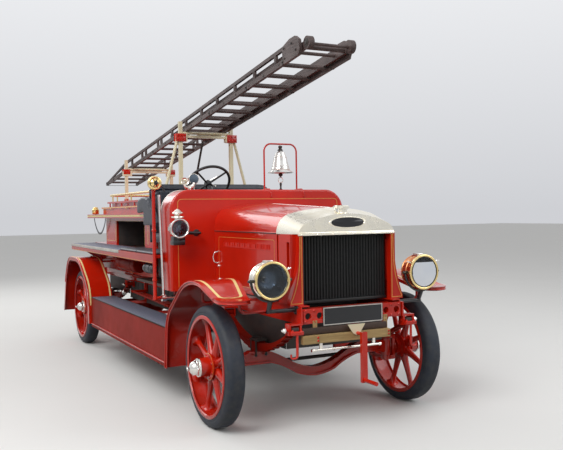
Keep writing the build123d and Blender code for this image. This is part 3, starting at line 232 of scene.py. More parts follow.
finish = {
    "red": enamel("redEnamel", srgb(214, 34, 6), srgb(186, 25, 4), 0.17, 0.45, 0.3),
    # a darker, unglossed copy of the red enamel: painted shade for the low parts under the body
    "paintedShadeRed": enamel("paintedShadeRedEnamel", srgb(166, 30, 10), srgb(132, 23, 8), 0.45, 0.0, 0.2, 0.1),
    "cream": enamel("creamPaint", srgb(242, 232, 200), srgb(228, 212, 170), 0.34, 0.3, 0.3),
    "gold": plain("coachLineGold", srgb(228, 170, 84), srgb(214, 146, 62), 0.38, 40, 0.05),
    "paleGold": plain("coachLineCream", srgb(250, 230, 164), srgb(238, 208, 132), 0.38, 40, 0.05),
    "white": plain("whitePaint", srgb(226, 222, 214), srgb(190, 184, 176), 0.45, 14, 0.1),
    "black": enamel("blackEnamel", srgb(20, 21, 25), srgb(30, 31, 36), 0.3, 0.5),
    "iron": plain("oilyIron", srgb(38, 36, 36), srgb(62, 54, 48), 0.62, 12, 0.4),
    "nickel": metal("polishedNickel", srgb(226, 224, 220), srgb(150, 140, 122), 0.1, 0.3),
    "brass": metal("polishedBrass", srgb(232, 198, 128), srgb(150, 110, 58), 0.13, 0.4),
    "paleNickel": metal("paleNickel", srgb(238, 232, 222), srgb(176, 164, 140), 0.15, 0.35),
    "paleBrass": metal("paleBrass", srgb(240, 214, 150), srgb(180, 140, 84), 0.15, 0.3),
    # polished metal tinted blue-grey with dark patches: a painted reflection, used for the lamp reflectors
    # and the mirror face
    "paintedReflectionMetal": metal("paintedBlueReflection", srgb(104, 116, 128), srgb(44, 52, 62), 0.12, 0.7, 6),
    "copper": metal("warmBrass", srgb(222, 152, 104), srgb(138, 80, 52), 0.16, 0.45),
    # polished casting whose colour is raised to near white: partly the metal, partly a painted highlight of
    # sunlight
    "cast": metal("castingWithPaintedSunHighlight", srgb(252, 247, 232), srgb(206, 190, 158), 0.2, 0.45, 9),
    "tyre": rubber("solidRubber"),
    "ladder": timber("weatheredAsh", srgb(80, 62, 58), srgb(48, 37, 36), srgb(124, 110, 108)),
    "plank": timber("oakPlank", srgb(190, 160, 108), srgb(146, 118, 74), srgb(168, 140, 96), (26, 1.5, 26)),
    "board": timber("darkBoard", srgb(60, 38, 26), srgb(38, 25, 18), srgb(76, 54, 38)),
    "leather": hide("blueBlackLeather", srgb(21, 25, 36), srgb(34, 39, 54)),
    "bag": hide("blackCanvasHide", srgb(18, 19, 24), srgb(32, 33, 40)),
    "mat": ribbedMat("ribbedLinoleum"),
    "glass": glazing("lampGlass", srgb(214, 224, 234)),
    "card": plain("paleCard", srgb(244, 247, 252), srgb(232, 238, 248), 0.6, 5, 0.1),
    "rubber": plain("softRubber", srgb(22, 22, 24), srgb(38, 38, 40), 0.5, 30, 0.3),
    "fins": plain("coreBlack", srgb(13, 15, 15), srgb(26, 28, 28), 0.5, 60, 0.3),
    "lens": enamel("rubyLens", srgb(120, 8, 6), srgb(90, 5, 5), 0.08, 1.0, 0.0),
    "dial": plain("dialWhite", srgb(228, 226, 214), srgb(214, 210, 196), 0.4, 20, 0.03),
}
print("finishes mixed:", len(finish))


# Mesh tools

def unit(vector):
    return Vector(vector).normalized()


def circle(count):  # angles evenly round a turn
    return [2 * math.pi * k / count for k in range(count)]


def facing(turn):  # a direction square to the vehicle's length
    return Vector((0, math.cos(turn), math.sin(turn)))


def ringAt(centre, across, up, radius, count):
    return [centre + (across * math.cos(a) + up * math.sin(a)) * radius for a in circle(count)]


def frameOf(axis):  # two directions square to an axis
    axis = unit(axis)
    across = axis.cross(Vector((0, 0, 1)) if abs(axis.z) < 0.9 else Vector((1, 0, 0))).normalized()
    return axis, across, axis.cross(across)


def rounded(points, radius, steps=6):  # a polyline with its corners turned into arcs
    points = [Vector(point) for point in points]
    path = [points[0]]
    for before, corner, after in zip(points, points[1:], points[2:]):
        enter, leave = (corner - before).normalized(), (after - corner).normalized()
        turn = enter.angle(leave)
        cut = min(radius * math.tan(turn / 2), (corner - before).length * 0.49,
                  (after - corner).length * 0.49)
        start, end = corner - enter * cut, corner + leave * cut
        for step in range(steps + 1):
            share = step / steps
            path.append((1 - share) ** 2 * start + 2 * share * (1 - share) * corner + share ** 2 * end)
    return path + [points[-1]]


class Shape:
    def __init__(self):
        self.vertices, self.faces = [], []

    def take(self, vertices, faces):
        start = len(self.vertices)
        self.vertices += [Vector(vertex) for vertex in vertices]
        self.faces += [[start + index for index in face] for face in faces]
        return self

    def sections(self, rings, closedRing=True, closedPath=False, caps=True):
        count = len(rings[0])
        vertices = [point for ring in rings for point in ring]
        faces = []
        spans = len(rings) if closedPath else len(rings) - 1
        for row in range(spans):
            for column in range(count if closedRing else count - 1):
                nextRow, nextColumn = (row + 1) % len(rings), (column + 1) % count
                faces.append([row * count + column, row * count + nextColumn, nextRow * count + nextColumn,
                              nextRow * count + column])
        if caps and closedRing and not closedPath:
            faces += [list(range(count))[::-1], list(range((len(rings) - 1) * count, len(rings) * count))]
        return self.take(vertices, faces)

    def box(self, low, high, bevel=0.0, steps=2):
        mesh = bmesh.new()
        bmesh.ops.create_cube(mesh, size=1)
        for vertex in mesh.verts:
            vertex.co = [low[k] + (vertex.co[k] + 0.5) * (high[k] - low[k]) for k in range(3)]
        if bevel:
            bmesh.ops.bevel(mesh, geom=mesh.edges, offset=bevel, segments=steps, affect="EDGES", profile=0.5)
        mesh.verts.index_update()
        self.take([vertex.co for vertex in mesh.verts],
                  [[v.index for v in face.verts] for face in mesh.faces])
        mesh.free()
        return self

    def lathe(self, profile, origin, axis, count=36, closed=False):  # profile of (along, radius)
        axis, across, up = frameOf(axis)
        origin = Vector(origin)
        rings = [ringAt(origin + axis * along, across, up, radius, count) for along, radius in profile]
        return self.sections(rings, closedPath=closed)

    def turned(self, profile, origin, axis, count=36, closed=False):  # a lathe profile in millimetres
        return self.lathe([(along / 1000, radius / 1000) for along, radius in profile], origin, axis,
                          count, closed)

    def tube(self, points, radius, count=12, closed=False, taper=None):
        points = [Vector(point) for point in points]
        total = len(points)
        across = None
        rings = []
        for index, point in enumerate(points):
            if closed:
                tangent = (points[(index + 1) % total] - points[index - 1]).normalized()
            else:
                tangent = (points[min(index + 1, total - 1)] - points[max(index - 1, 0)]).normalized()
            if across is None:
                across = frameOf(tangent)[1]
            across = (across - tangent * across.dot(tangent)).normalized()
            up = tangent.cross(across)
            size = radius if taper is None else radius + (taper - radius) * index / (total - 1)
            rings.append(ringAt(point, across, up, size, count))
        return self.sections(rings, closedPath=closed)

    # a painted line, just proud of its panel
    def stripe(self, points, normal, width, height=0.0008, closed=False):
        points = [Vector(point) for point in points]
        total = len(points)
        normals = [unit(n) for n in normal] if isinstance(normal, list) else [unit(normal)] * total
        rings = []
        for index, point in enumerate(points):
            before = points[index - 1] if closed or index else point
            after = points[(index + 1) % total] if closed or index < total - 1 else point
            enter = (point - before).normalized() if (point - before).length else (after - point).normalized()
            leave = (after - point).normalized() if (after - point).length else enter
            tangent = (enter + leave).normalized()
            across = normals[index].cross(tangent).normalized()
            spread = width / 2 / max(0.4, math.sqrt(max(0, (1 + enter.dot(leave)) / 2)))
            up = normals[index] * height
            rings.append([point - across * spread - up, point + across * spread - up,
                          point + across * spread + up, point - across * spread + up])
        return self.sections(rings, closedPath=closed)

    def prism(self, outline, start, u, v, depth):  # an outline in (u, v) pushed along u x v
        u, v, start = Vector(u), Vector(v), Vector(start)
        push = u.cross(v) * depth
        ring = [start + u * a + v * b for a, b in outline]
        return self.sections([ring, [point + push for point in ring]])

    def mirrored(self):
        copy = [Vector((v.x, -v.y, v.z)) for v in self.vertices]
        return self.take(copy, [face[::-1] for face in self.faces])

    def moved(self, matrix):
        self.vertices = [matrix @ vertex for vertex in self.vertices]
        return self

    def build(self, name, look, body="chassis", slot=None, replaces=(), angle=38, flat=False):
        mesh = bpy.data.meshes.new(name)
        mesh.from_pydata(self.vertices, [], self.faces)
        work = bmesh.new()
        work.from_mesh(mesh)
        bmesh.ops.recalc_face_normals(work, faces=work.faces)
        work.to_mesh(mesh)
        work.free()
        piece = bpy.data.objects.new(name, mesh)
        bpy.context.scene.collection.objects.link(piece)
        piece.data.materials.append(finish[look])
        if not flat:
            mesh.shade_smooth()
            mesh.set_sharp_from_angle(angle=math.radians(angle))
        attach(piece, body)
        if replaces:
            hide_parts(*replaces)
        return piece


def nut(shape, point, axis, size=0.012, height=0.008):
    shape.lathe([(0, 0), (0, size), (height * 0.8, size), (height, size * 0.85), (height, 0)], point, axis, 6)
    return shape.lathe([(height, 0), (height, size * 0.5), (height * 1.5, size * 0.5), (height * 1.6, 0)],
                       point, axis, 10)


slotOf = {"red": "red_paint", "paintedShadeRed": "red_paint", "cream": "cream_paint", "gold": "cream_paint",
          "paleGold": "cream_paint", "white": "cream_paint", "black": "black_iron", "iron": "bare_iron",
          "nickel": "polished_steel", "paleNickel": "polished_steel", "paintedReflectionMetal": "polished_steel",
          "paleBrass": "brass", "brass": "brass", "copper": "brass", "cast": "brass", "tyre": "solid_tyre",
          "ladder": "ladder_wood", "plank": "board_wood", "board": "board_wood", "mat": "board_wood",
          "leather": "dark_leather", "bag": "dark_leather", "glass": "lamp_glass", "lens": "lamp_glass",
          "card": "cream_paint", "rubber": "solid_tyre", "fins": "bare_iron", "dial": "cream_paint"}


def add(shape, name, look, body="chassis", replaces=(), **more):
    return shape.build(name, look, body, slotOf[look], replaces, **more)


# The CAD nodes that stay, and their finishes
nodeFinish = {
    "red": "chassis_frame spring_hangers front_crossmember front_axle scuttle body_box bonnet_top_right "
           "bonnet_top_left bonnet_side_right bonnet_side_left front_guards rear_guards side_benches "
           "bell_hoop radiator_pillars knuckle_right knuckle_left starting_handle body_tiers tow_hooks",
    # springs, rear axle and valances take the painted-shade copy of the red
    "paintedShadeRed": "leaf_springs rear_axle side_valances",
    "cream": "gantry_front gantry_rear",
    "black": "number_plate steering_column",
    "iron": "engine_block transmission track_rod pump",
    "nickel": "hand_brake siren bonnet_hinge bell side_lamps bulb_horn mirror headlamps",
    "paleBrass": "brass_rails",
    # radiator shell in the casting finish, its near-white colour partly a painted highlight
    "cast": "radiator_shell",
    "ladder": "ladder_main ladder_fly",
    "plank": "lower_board",
    "board": "cab_floor running_boards",
    "glass": "lamp_glasses",
    "leather": "seat_cushion seat_back bench_pads",
    "tyre": "tyre_front_right tyre_front_left tyre_rear_right tyre_rear_left",
    "rubber": "steering_wheel",
    "fins": "radiator_core",
}
for look, names in nodeFinish.items():
    for name in names.split():
        nodes[name].data.materials.clear()
        nodes[name].data.materials.append(finish[look])
for name in ("wheel_front_right", "wheel_front_left", "wheel_rear_right", "wheel_rear_left"):
    nodes[name].data.materials.clear()
    nodes[name].data.materials.append(finish["red"])


# Wheels with their solid tyres
wheelCast = {
    "spokes": 8, "width": 0.152, "rim": 0.389, "bolts": 8,
    # a spoke's distance from the hub, half width and half depth
    "spoke": [(0.078, 0.038, 0.036), (0.11, 0.034, 0.031), (0.16, 0.028, 0.025), (0.25, 0.023, 0.02),
              (0.32, 0.023, 0.021), (0.35, 0.029, 0.027), (0.368, 0.042, 0.04), (0.377, 0.06, 0.056)],
}


def wheelRim(shape, centre, out):
    edge, width = wheelCast["rim"], wheelCast["width"]
    half = [(0, edge), (0.003, edge - 0.004), (0.003, edge - 0.026), (-0.004, edge - 0.031),
            (-0.012, edge - 0.027), (-0.018, edge - 0.016), (-0.03, edge - 0.013)]
    rear = [(-width - along, radius) for along, radius in reversed(half)]
    shape.lathe(half + rear, centre, out, 72, closed=True)


def wheelSpoke(shape, centre, out, angle):
    reach = Vector((math.cos(angle), 0, math.sin(angle)))
    across = out.cross(reach)
    middle = centre - out * (wheelCast["width"] / 2)
    rings = []
    for distance, wide, deep in wheelCast["spoke"]:
        rings.append([middle + reach * distance + across * math.cos(a) * wide + out * math.sin(a) * deep
                      for a in circle(16)])
    shape.sections(rings)


def hubBarrel(shape, centre, out, nose):
    inner, middle = -wheelCast["width"] - 0.003, -wheelCast["width"] / 2
    shape.lathe([(inner, 0.034), (inner, 0.066), (middle - 0.052, 0.07), (middle - 0.046, 0.104),
                 (middle - 0.036, 0.106), (middle - 0.034, 0.092), (middle + 0.034, 0.092),
                 (middle + 0.036, 0.106), (middle + 0.045, 0.104), (middle + 0.05, 0.076),
                 (nose - 0.01, 0.068), (nose, 0.064), (nose, 0.034)], centre, out, 40)
    for step in range(wheelCast["bolts"]):
        turn = 2 * math.pi * (step + 0.5) / wheelCast["bolts"]
        spot = centre + out * (middle + 0.04) + Vector((math.cos(turn), 0, math.sin(turn))) * 0.09
        nut(shape, spot, out, 0.011, 0.012)


def hubCap(shape, centre, out, nose, tip):
    shape.lathe([(nose - 0.002, 0), (nose - 0.002, 0.069), (nose + 0.004, 0.072), (nose + 0.01, 0.07)],
                centre, out, 40)
    shape.lathe([(nose + 0.008, 0), (nose + 0.008, 0.062), (nose + 0.024, 0.062), (nose + 0.028, 0.058)],
                centre, out, 6)
    dome = [(nose + 0.026, 0.055)]
    height = tip - 0.018 - dome[0][0]
    dome += [(dome[0][0] + height * math.sin(k * math.pi / 16), 0.055 * math.cos(k * math.pi / 16))
             for k in range(1, 7)]
    shape.lathe(dome + [(tip - 0.02, 0.019), (tip - 0.018, 0)], centre, out, 36)
    shape.lathe([(tip - 0.022, 0), (tip - 0.022, 0.017), (tip - 0.006, 0.017), (tip - 0.003, 0.013)],
                centre, out, 6)
    shape.lathe([(tip - 0.006, 0.011), (tip, 0.008), (tip, 0)], centre, out, 20)


def solidTyre(shape, centre, out):
    middle, inner = -wheelCast["width"] / 2, wheelCast["rim"] + 0.0004
    half = [(0.073, inner), (0.073, 0.402), (0.0705, 0.405), (0.0705, 0.409), (0.073, 0.412),
            (0.071, 0.43), (0.064, 0.444), (0.052, 0.4545), (0.036, 0.4595), (0.018, 0.46)]
    profile = [(middle + along, radius) for along, radius in half]
    profile += [(middle - along, radius) for along, radius in reversed(half)]
    shape.lathe(profile, centre, out, 96, closed=True)


def wheelPieces():
    for end, axle, plane, reach in (("front", "frontAxle", "frontRim", 0.142),
                                    ("rear", "rearAxle", "rearRim", 0.066)):
        for side, hand in hands:
            body = f"wheel_{end}_{hand}"
            out = Vector((0, side, 0))
            centre = Vector((place[axle], side * place[plane], place["wheelRadius"]))
            nose = reach - 0.096
            cast = Shape()
            wheelRim(cast, centre, out)
            for index in range(wheelCast["spokes"]):
                wheelSpoke(cast, centre, out, 2 * math.pi * (index + 0.5) / wheelCast["spokes"])
            hubBarrel(cast, centre, out, nose)
            add(cast, f"wheelCasting_{end}_{hand}", "red", body, [body])
            cap = Shape()
            hubCap(cap, centre, out, nose, reach)
            add(cap, f"hubCap_{end}_{hand}", "nickel", body)
            tyre = Shape()
            solidTyre(tyre, centre, out)
            add(tyre, f"solidTyre_{end}_{hand}", "tyre", body, [f"tyre_{end}_{hand}"])
            line = Shape()
            hub = centre - out * (wheelCast["width"] / 2 - 0.046)
            line.turned([(-0.6, 99.5), (0.4, 99.5), (0.4, 102.5), (-0.6, 102.5)], hub, out, 48, closed=True)
            add(line, f"hubLine_{end}_{hand}", "gold", body)


wheelPieces()
print("wheels done")


# Radiator
radiator = {"front": 3.0, "base": 1.447, "coreLow": 0.9453, "coreHalf": 0.378, "tubes": 30, "gills": 56,
            "bossWidth": 0.16, "bossHeight": 0.044, "bossMiddle": 1.538, "fieldWidth": 0.148,
            "fieldHeight": 0.0375, "capX": 2.905}


def tankTrim():  # flange, beads and bolts of the cast tank, with its bare oval boss
    x, middle = radiator["front"], radiator["bossMiddle"]
    trim = Shape().box((x - 0.01, -0.418, 1.447), (x + 0.006, 0.418, 1.462), 0.003)
    trim.tube([(x + 0.001, -0.412, 1.466), (x + 0.001, 0.412, 1.466)], 0.004, 8)
    for y in (-0.39, -0.26, -0.13, 0.0, 0.13, 0.26, 0.39):
        nut(trim, (x + 0.006, y, 1.4545), (1, 0, 0), 0.0055, 0.004)
    wide, tall = radiator["bossWidth"], radiator["bossHeight"]
    boss = []
    for lift, size in ((0, 1.0), (0.006, 0.99), (0.009, 0.96), (0.009, 0.9), (0.005, 0.88), (0.005, 0)):
        boss.append([Vector((x - 0.002 + lift, math.cos(a) * wide * size,
                             middle + math.sin(a) * tall * size)) for a in circle(48)])
    trim.sections(boss)
    add(trim, "tankTrim", "cast")
    wide, tall = radiator["fieldWidth"], radiator["fieldHeight"]
    field, rows = Shape(), []
    for lift, size in ((0, 1.0), (0.0012, 1.0), (0.002, 0.985), (0.002, 0.02)):
        rows.append([Vector((x + 0.0012 + lift, math.cos(a) * wide * size,
                             middle + math.sin(a) * tall * size)) for a in circle(56)])
    field.sections(rows)
    add(field, "bossField", "black")


def fillerCap():
    x, cap = radiator["capX"], Shape()
    cap.turned([(0, 0), (0, 52), (10, 52), (14, 44), (30, 42), (34, 50), (48, 50), (54, 40), (62, 14),
                (70, 0)], (x, 0, 1.598), (0, 0, 1), 32)
    for side in (-1, 1):
        wing = [(x, side * 0.01, 1.655), (x, side * 0.052, 1.66), (x, side * 0.07, 1.648)]
        cap.tube(rounded(wing, 0.02, 4), 0.007, 8)
    add(cap, "fillerCap", "nickel")


def gilledTubes():
    x, half = radiator["front"], radiator["coreHalf"]
    low, high = radiator["coreLow"], radiator["base"] + 0.006
    bare, gill, gills = 0.0062, 0.0112, []
    for row in range(radiator["gills"]):
        z = low + 0.012 + (high - low - 0.024) * row / (radiator["gills"] - 1) - low
        gills += [(z - 0.0026, bare), (z - 0.0022, gill), (z + 0.0022, gill), (z + 0.0026, bare)]
    core = Shape()
    pitch = 2 * half / radiator["tubes"]
    for index in range(radiator["tubes"]):
        foot = (x - 0.078, -half + pitch * (index + 0.5), low)
        core.lathe([(0, 0), (0, bare)] + gills + [(high - low, bare), (high - low, 0)], foot, (0, 0, 1), 6)
    core.box((x - 0.24, -half, low), (x - 0.1, half, high), 0.002)
    core.box((x - 0.1, -half, low), (x - 0.06, half, low + 0.022), 0.003)
    add(core, "gilledTubes", "fins", replaces=["radiator_core"])


def pillarEdge(z):  # the pillar's outer edge, flared at its foot
    share = min(1.0, (z - 0.971) / (1.459 - 0.971))
    return 0.49 if z < 0.972 else 0.415 + 0.075 * (1 - share) ** 3.4


def pillarLines():  # closed line on each pillar's face
    x, low, high = radiator["front"] + 0.0006, 0.958, 1.44
    rise = [0.966 + (high - 0.966) * (k / 20) ** 1.4 for k in range(21)]
    loop = [(x, -0.392, low), (x, -0.392, high)] + [(x, 0.01 - pillarEdge(z), z) for z in reversed(rise)]
    line = Shape().stripe(loop + [(x, -0.48, low)], (1, 0, 0), 0.005, 0.0005, closed=True)
    add(line.mirrored(), "pillarLines", "gold")


tankTrim()
fillerCap()
gilledTubes()
pillarLines()
print("radiator done")


# Number plate, cross member and hooks
def frontEndPieces():
    face = 3.073
    edge = Shape().stripe([(face + 0.0006, -0.256, 0.8), (face + 0.0006, 0.246, 0.8),
                           (face + 0.0006, 0.246, 0.923), (face + 0.0006, -0.256, 0.923)], (1, 0, 0),
                          0.007, 0.0006, closed=True)
    add(edge, "plateBorder", "white")
    bolts = Shape()
    for y in (-0.33, 0.276):
        for z in (0.7, 0.722, 0.8, 0.826):
            nut(bolts, (face - 0.005 if z > 0.75 else face + 0.043, y, z), (1, 0, 0), 0.008, 0.006)
    for side in (-1, 1):
        for y in (0.335, 0.405):
            for z in (0.835, 0.91):
                nut(bolts, (3.068, side * y, z), (1, 0, 0), 0.009, 0.007)
    add(bolts, "frontBolts", "red")
    ends = Shape()  # bright spring pin nuts
    for side in (-1, 1):
        for x in (3.044, 1.856, -2.691, -1.243):
            nut(ends, (x, side * 0.5565, 0.78), (0, side, 0), 0.019, 0.016)
            ends.turned([(16, 0), (16, 11), (28, 9), (32, 0)], (x, side * 0.5565, 0.78), (0, side, 0), 16)
    add(ends, "springPinNuts", "nickel")
    block = Shape()  # dark block between the hanger's cheeks, painted shade in the hanger's opening
    for side in (-1, 1):
        block.box((3.06, side * 0.49 - 0.026, 0.752), (3.079, side * 0.49 + 0.026, 0.8), 0.004)
    add(block, "hangerOpeningPaintedShade", "iron")
    backing = Shape().box((3.069, -0.44, 0.742), (3.09, 0.28, 0.79), 0.004)
    add(backing, "plankBacking", "board")


frontEndPieces()
print("front end done")


# Headlamps in their yokes
def headlamp(side, hand, shell, rimLook):
    x, z, r = place["lampX"], place["lampZ"], place["lampRadius"]
    centre, front = Vector((x, side * place["lampY"], z)), (1, 0, 0)
    hingeY = centre.y - side * 0.128
    drum = Shape().turned([(-185, 0), (-185, 50), (-181, 62), (-172, 84), (-158, 104), (-142, 118),
                           (-140, 124), (-134, 125), (-130, 121), (-90, 123), (-86, 127), (-78, 127),
                           (-74, 123), (-34, 125), (-30, 128), (-22, 128), (-20, 118.5), (-100, 118.5),
                           (-130, 110), (-155, 90), (-170, 52), (-176, 0)], centre, front, 56)
    add(drum, f"headlampDrum_{hand}", shell, replaces=["headlamps"])
    rim = Shape().turned([(-30, 121.5), (-30, 131), (-26, 134), (-16, 136), (-4, 136), (-1, 133), (0, 127),
                          (-3, 121), (-12, 118.5)], centre, front, 64, closed=True)
    rim.box((x - 0.034, hingeY - 0.012, z - 0.012), (x - 0.006, hingeY + 0.012, z + 0.012), 0.003)
    add(rim, f"headlampRim_{hand}", rimLook)
    inside = Shape().turned([(-150, 22), (-146, 50), (-128, 78), (-98, 100), (-60, 112), (-24, 117),
                             (-26, 115), (-60, 110), (-98, 97), (-126, 76), (-142, 50), (-146, 22)],
                            centre, front, 48, closed=True)
    inside.turned([(-150, 0), (-150, 16), (-118, 16), (-114, 20), (-100, 20), (-98, 0)], centre, front, 20)
    # the reflector's blue-grey colour is a painted reflection
    add(inside, f"headlampReflector_{hand}", "paintedReflectionMetal")
    fittings = Shape()
    top = z + 0.122  # vented hood
    fittings.box((x - 0.122, centre.y - 0.036, top - 0.006), (x - 0.046, centre.y + 0.036, top + 0.008),
                 0.003)
    fittings.box((x - 0.114, centre.y - 0.028, top + 0.006), (x - 0.054, centre.y + 0.028, top + 0.02), 0.004)
    for k in range(5):
        fittings.box((x - 0.109 + k * 0.011, centre.y - 0.031, top + 0.01),
                     (x - 0.104 + k * 0.011, centre.y + 0.031, top + 0.016), 0.001)
    for turn in (0.55, 2.6):  # wing screws of the rim
        spot = centre + Vector((-0.018, -side * math.cos(turn) * 0.132, math.sin(turn) * 0.132))
        out = Vector((0, -side * math.cos(turn), math.sin(turn)))
        fittings.tube([spot, spot + out * 0.022], 0.005, 8)
        fittings.tube([spot + out * 0.018 - Vector((0.012, 0, 0)),
                       spot + out * 0.034 - Vector((0.018, 0, 0))], 0.0045, 8)
        fittings.tube([spot + out * 0.018 + Vector((0.01, 0, 0)),
                       spot + out * 0.036 + Vector((0.016, 0, 0))], 0.0045, 8)
    nut(fittings, centre + Vector((-0.185, 0, 0)), (-1, 0, 0), 0.016, 0.01)
    add(fittings, f"headlampFittings_{hand}", "nickel")
    bracket = Shape()
    yokeX, reach = x - 0.05, r + 0.012
    arc = [(yokeX, centre.y + reach * math.cos(a), z + reach * math.sin(a))
           for a in (math.pi + math.pi * k / 28 for k in range(29))]
    bracket.tube(arc, 0.0098, 12)
    for end in (1, -1):
        pivot = centre + Vector((-0.05, end * 0.124, 0))
        bracket.tube([pivot, pivot + Vector((0, end * 0.036, 0))], 0.012, 14)
        nut(bracket, pivot + Vector((0, end * 0.034, 0)), (0, end, 0), 0.013, 0.01)
    foot = (x - 0.085, centre.y, 0.915)
    bracket.tube([(yokeX, centre.y, z - reach + 0.004), foot], 0.02, 16, taper=0.015)
    bracket.tube([(foot[0], centre.y + side * 0.014, 0.915), (foot[0], side * 0.4305, 0.915)], 0.0148, 16)
    bracket.turned([(0, 0), (0, 34), (10, 34), (16, 20), (16, 0)], (foot[0], side * 0.4304, 0.915),
                   (0, side, 0), 24)
    add(bracket, f"headlampYoke_{hand}", "black")


def paperCard():  # blank pale card filling the left lamp's glass, cut straight at its top
    x, y, z = place["lampX"] - 0.0035, place["lampY"], place["lampZ"]
    card = Shape()
    rows = []
    for k in range(25):
        across = -0.11 + 0.22 * k / 24
        reach = math.sqrt(max(0.0004, 0.112 ** 2 - across ** 2))
        bow = 0.003 * math.cos(across * 14)
        low, high = z - reach, z + min(reach, 0.076)
        rows.append([Vector((x - bow, y + across, low)), Vector((x - bow, y + across, high)),
                     Vector((x - bow - 0.0006, y + across, high)),
                     Vector((x - bow - 0.0006, y + across, low))])
    card.sections(rows)
    add(card, "lampCard", "card")


def sideLamp(side, hand):
    x, z = place["sideLampX"], place["sideLampZ"]
    centre, front = Vector((x, side * place["sideLampY"], z)), (1, 0, 0)
    stemX, armZ, footY = x - 0.062, z - 0.044, side * 0.64
    stem = centre + Vector((-0.062, 0, 0))
    drum = Shape().turned([(-130, 0), (-130, 40), (-122, 54), (-110, 66), (-100, 71), (-60, 71.5),
                           (-26, 73), (-20, 71.5), (-20, 68.5), (-100, 66), (-114, 44), (-116, 0)], centre,
                          front, 44)
    drum.turned([(-24, 70.5), (-22, 80), (-16, 85), (-6, 86), (0, 83), (1, 76), (-3, 70), (-12, 68.5)],
                centre, front, 52, closed=True)
    drum.box((x - 0.03, centre.y + side * 0.08, z - 0.014),
             (x - 0.006, centre.y + side * 0.096, z + 0.014), 0.003)
    drum.turned([(64, 0), (64, 32), (74, 32), (78, 26), (86, 26), (88, 20)], stem, (0, 0, 1), 28)
    add(drum, f"sideLampDrum_{hand}", "nickel", replaces=["side_lamps"])
    chimney = Shape()  # caps of the chimney in the paler nickel, a painted highlight on the lamp's top
    chimney.turned([(86, 0), (86, 30), (90, 52), (96, 57), (102, 55), (108, 34), (114, 27), (122, 27),
                    (124, 44), (130, 48), (137, 45), (146, 32), (156, 22), (164, 12), (168, 0)], stem,
                   (0, 0, 1), 36)
    add(chimney, f"sideLampChimney_{hand}", "paleNickel")
    inside = Shape().turned([(-100, 0), (-98, 40), (-80, 58), (-24, 67), (-24, 65), (-78, 55), (-94, 38),
                             (-96, 0)], centre, front, 36)
    inside.turned([(0, 0), (0, 12), (20, 12), (26, 5), (34, 0)], centre + Vector((-0.062, 0, -0.058)),
                  (0, 0, 1), 16)
    # the reflector's blue-grey colour is a painted reflection
    add(inside, f"sideLampReflector_{hand}", "paintedReflectionMetal")
    base = Shape().box((x - 0.11, centre.y - 0.052, z - 0.112), (x - 0.02, centre.y + 0.052, z - 0.066),
                       0.005)
    base.box((x - 0.096, centre.y - 0.04, z - 0.118), (x - 0.034, centre.y + 0.04, z - 0.11), 0.002)
    base.turned([(0, 0), (0, 14), (10, 14), (14, 8), (14, 0)], (x - 0.02, centre.y, z - 0.088), (1, 0, 0), 16)
    arm = rounded([(stemX, centre.y - side * 0.05, armZ), (stemX, footY, armZ), (1.5004, footY, armZ)],
                  0.03, 6)
    base.tube(arm, 0.0115, 12)
    base.turned([(0, 0), (0, 30), (8, 30), (12, 16), (12, 0)], (1.5003, footY, armZ), (1, 0, 0), 24)
    base.box((x - 0.074, centre.y - side * 0.05 - 0.01, z - 0.056),
             (x - 0.05, centre.y - side * 0.05 + 0.01, z - 0.03), 0.003)
    base.tube([(stemX, side * 0.7, armZ), (stemX, side * 0.76, z - 0.04)], 0.015, 12)
    add(base, f"sideLampBase_{hand}", "black")


def lampPieces():
    headlamp(-1, "right", "paleNickel", "paleBrass")
    headlamp(1, "left", "copper", "paleBrass")
    paperCard()
    sideLamp(-1, "right")
    sideLamp(1, "left")


lampPieces()
print("lamps done")


# Coach lines, beads and bonnet furniture
def filleted(points, radii, steps=10):  # a polyline in a plane with true arcs at its corners
    points = [Vector(point) for point in points]
    path = [points[0]]
    for before, corner, after, radius in zip(points, points[1:], points[2:], radii):
        enter, leave = (before - corner).normalized(), (after - corner).normalized()
        half = enter.angle(leave) / 2
        centre = corner + (enter + leave).normalized() * (radius / math.sin(half))
        start, end = corner + enter * (radius / math.tan(half)), corner + leave * (radius / math.tan(half))
        a = math.atan2(start.y - centre.y, start.x - centre.x)
        b = math.atan2(end.y - centre.y, end.x - centre.x)
        sweep = (b - a + math.pi) % (2 * math.pi) - math.pi
        path += [centre + Vector((math.cos(a + sweep * k / steps),
                                  math.sin(a + sweep * k / steps))) * radius for k in range(steps + 1)]
    return path + [points[-1]]


guards = {
    "frontLine": [(-0.785, 0.204), (-0.785, 0.324), (-0.738, 0.772), (-0.174, 1.172), (0.377, 1.006),
                  (0.8, 1.006)],
    "frontRadii": (0.3, 0.33, 0.64, 0.5), "frontOuter": 1.0, "frontInner": 0.64,
    "rearLine": [(0.862, 0.25), (0.862, 0.76), (0.33, 1.094), (-0.29, 1.094), (-0.49, 0.818), (-0.68, 0.25)],
    "rearRadii": (0.35, 0.6, 0.3, 0.5),
}


def guardPath(end, axle):
    line = [(axle + x, z) for x, z in guards[end + "Line"]]
    return filleted(line, guards[end + "Radii"], 14)


def densified(path, step):
    dense = []
    for a, b in zip(path, path[1:]):
        count = max(1, int((b - a).length / step))
        dense += [a + (b - a) * (k / count) for k in range(count)]
    return dense + [path[-1]]


def cutPath(path, low, high):  # the part of a path between two values of x
    return [point for point in densified(path, 0.02) if low <= point.x <= high]


def onSheet(path, y, lift=0.0006):  # path points and normals on the guard's upper face
    points, normals = [], []
    for index, point in enumerate(path):
        along = (path[min(index + 1, len(path) - 1)] - path[max(index - 1, 0)]).normalized()
        normal = Vector((-along.y, 0, along.x))
        if normal.z < 0 and abs(normal.z) > 0.2:
            normal = -normal
        points.append(Vector((point.x, y[index] if isinstance(y, list) else y, point.y)) + normal * lift)
        normals.append(normal)
    return points, normals


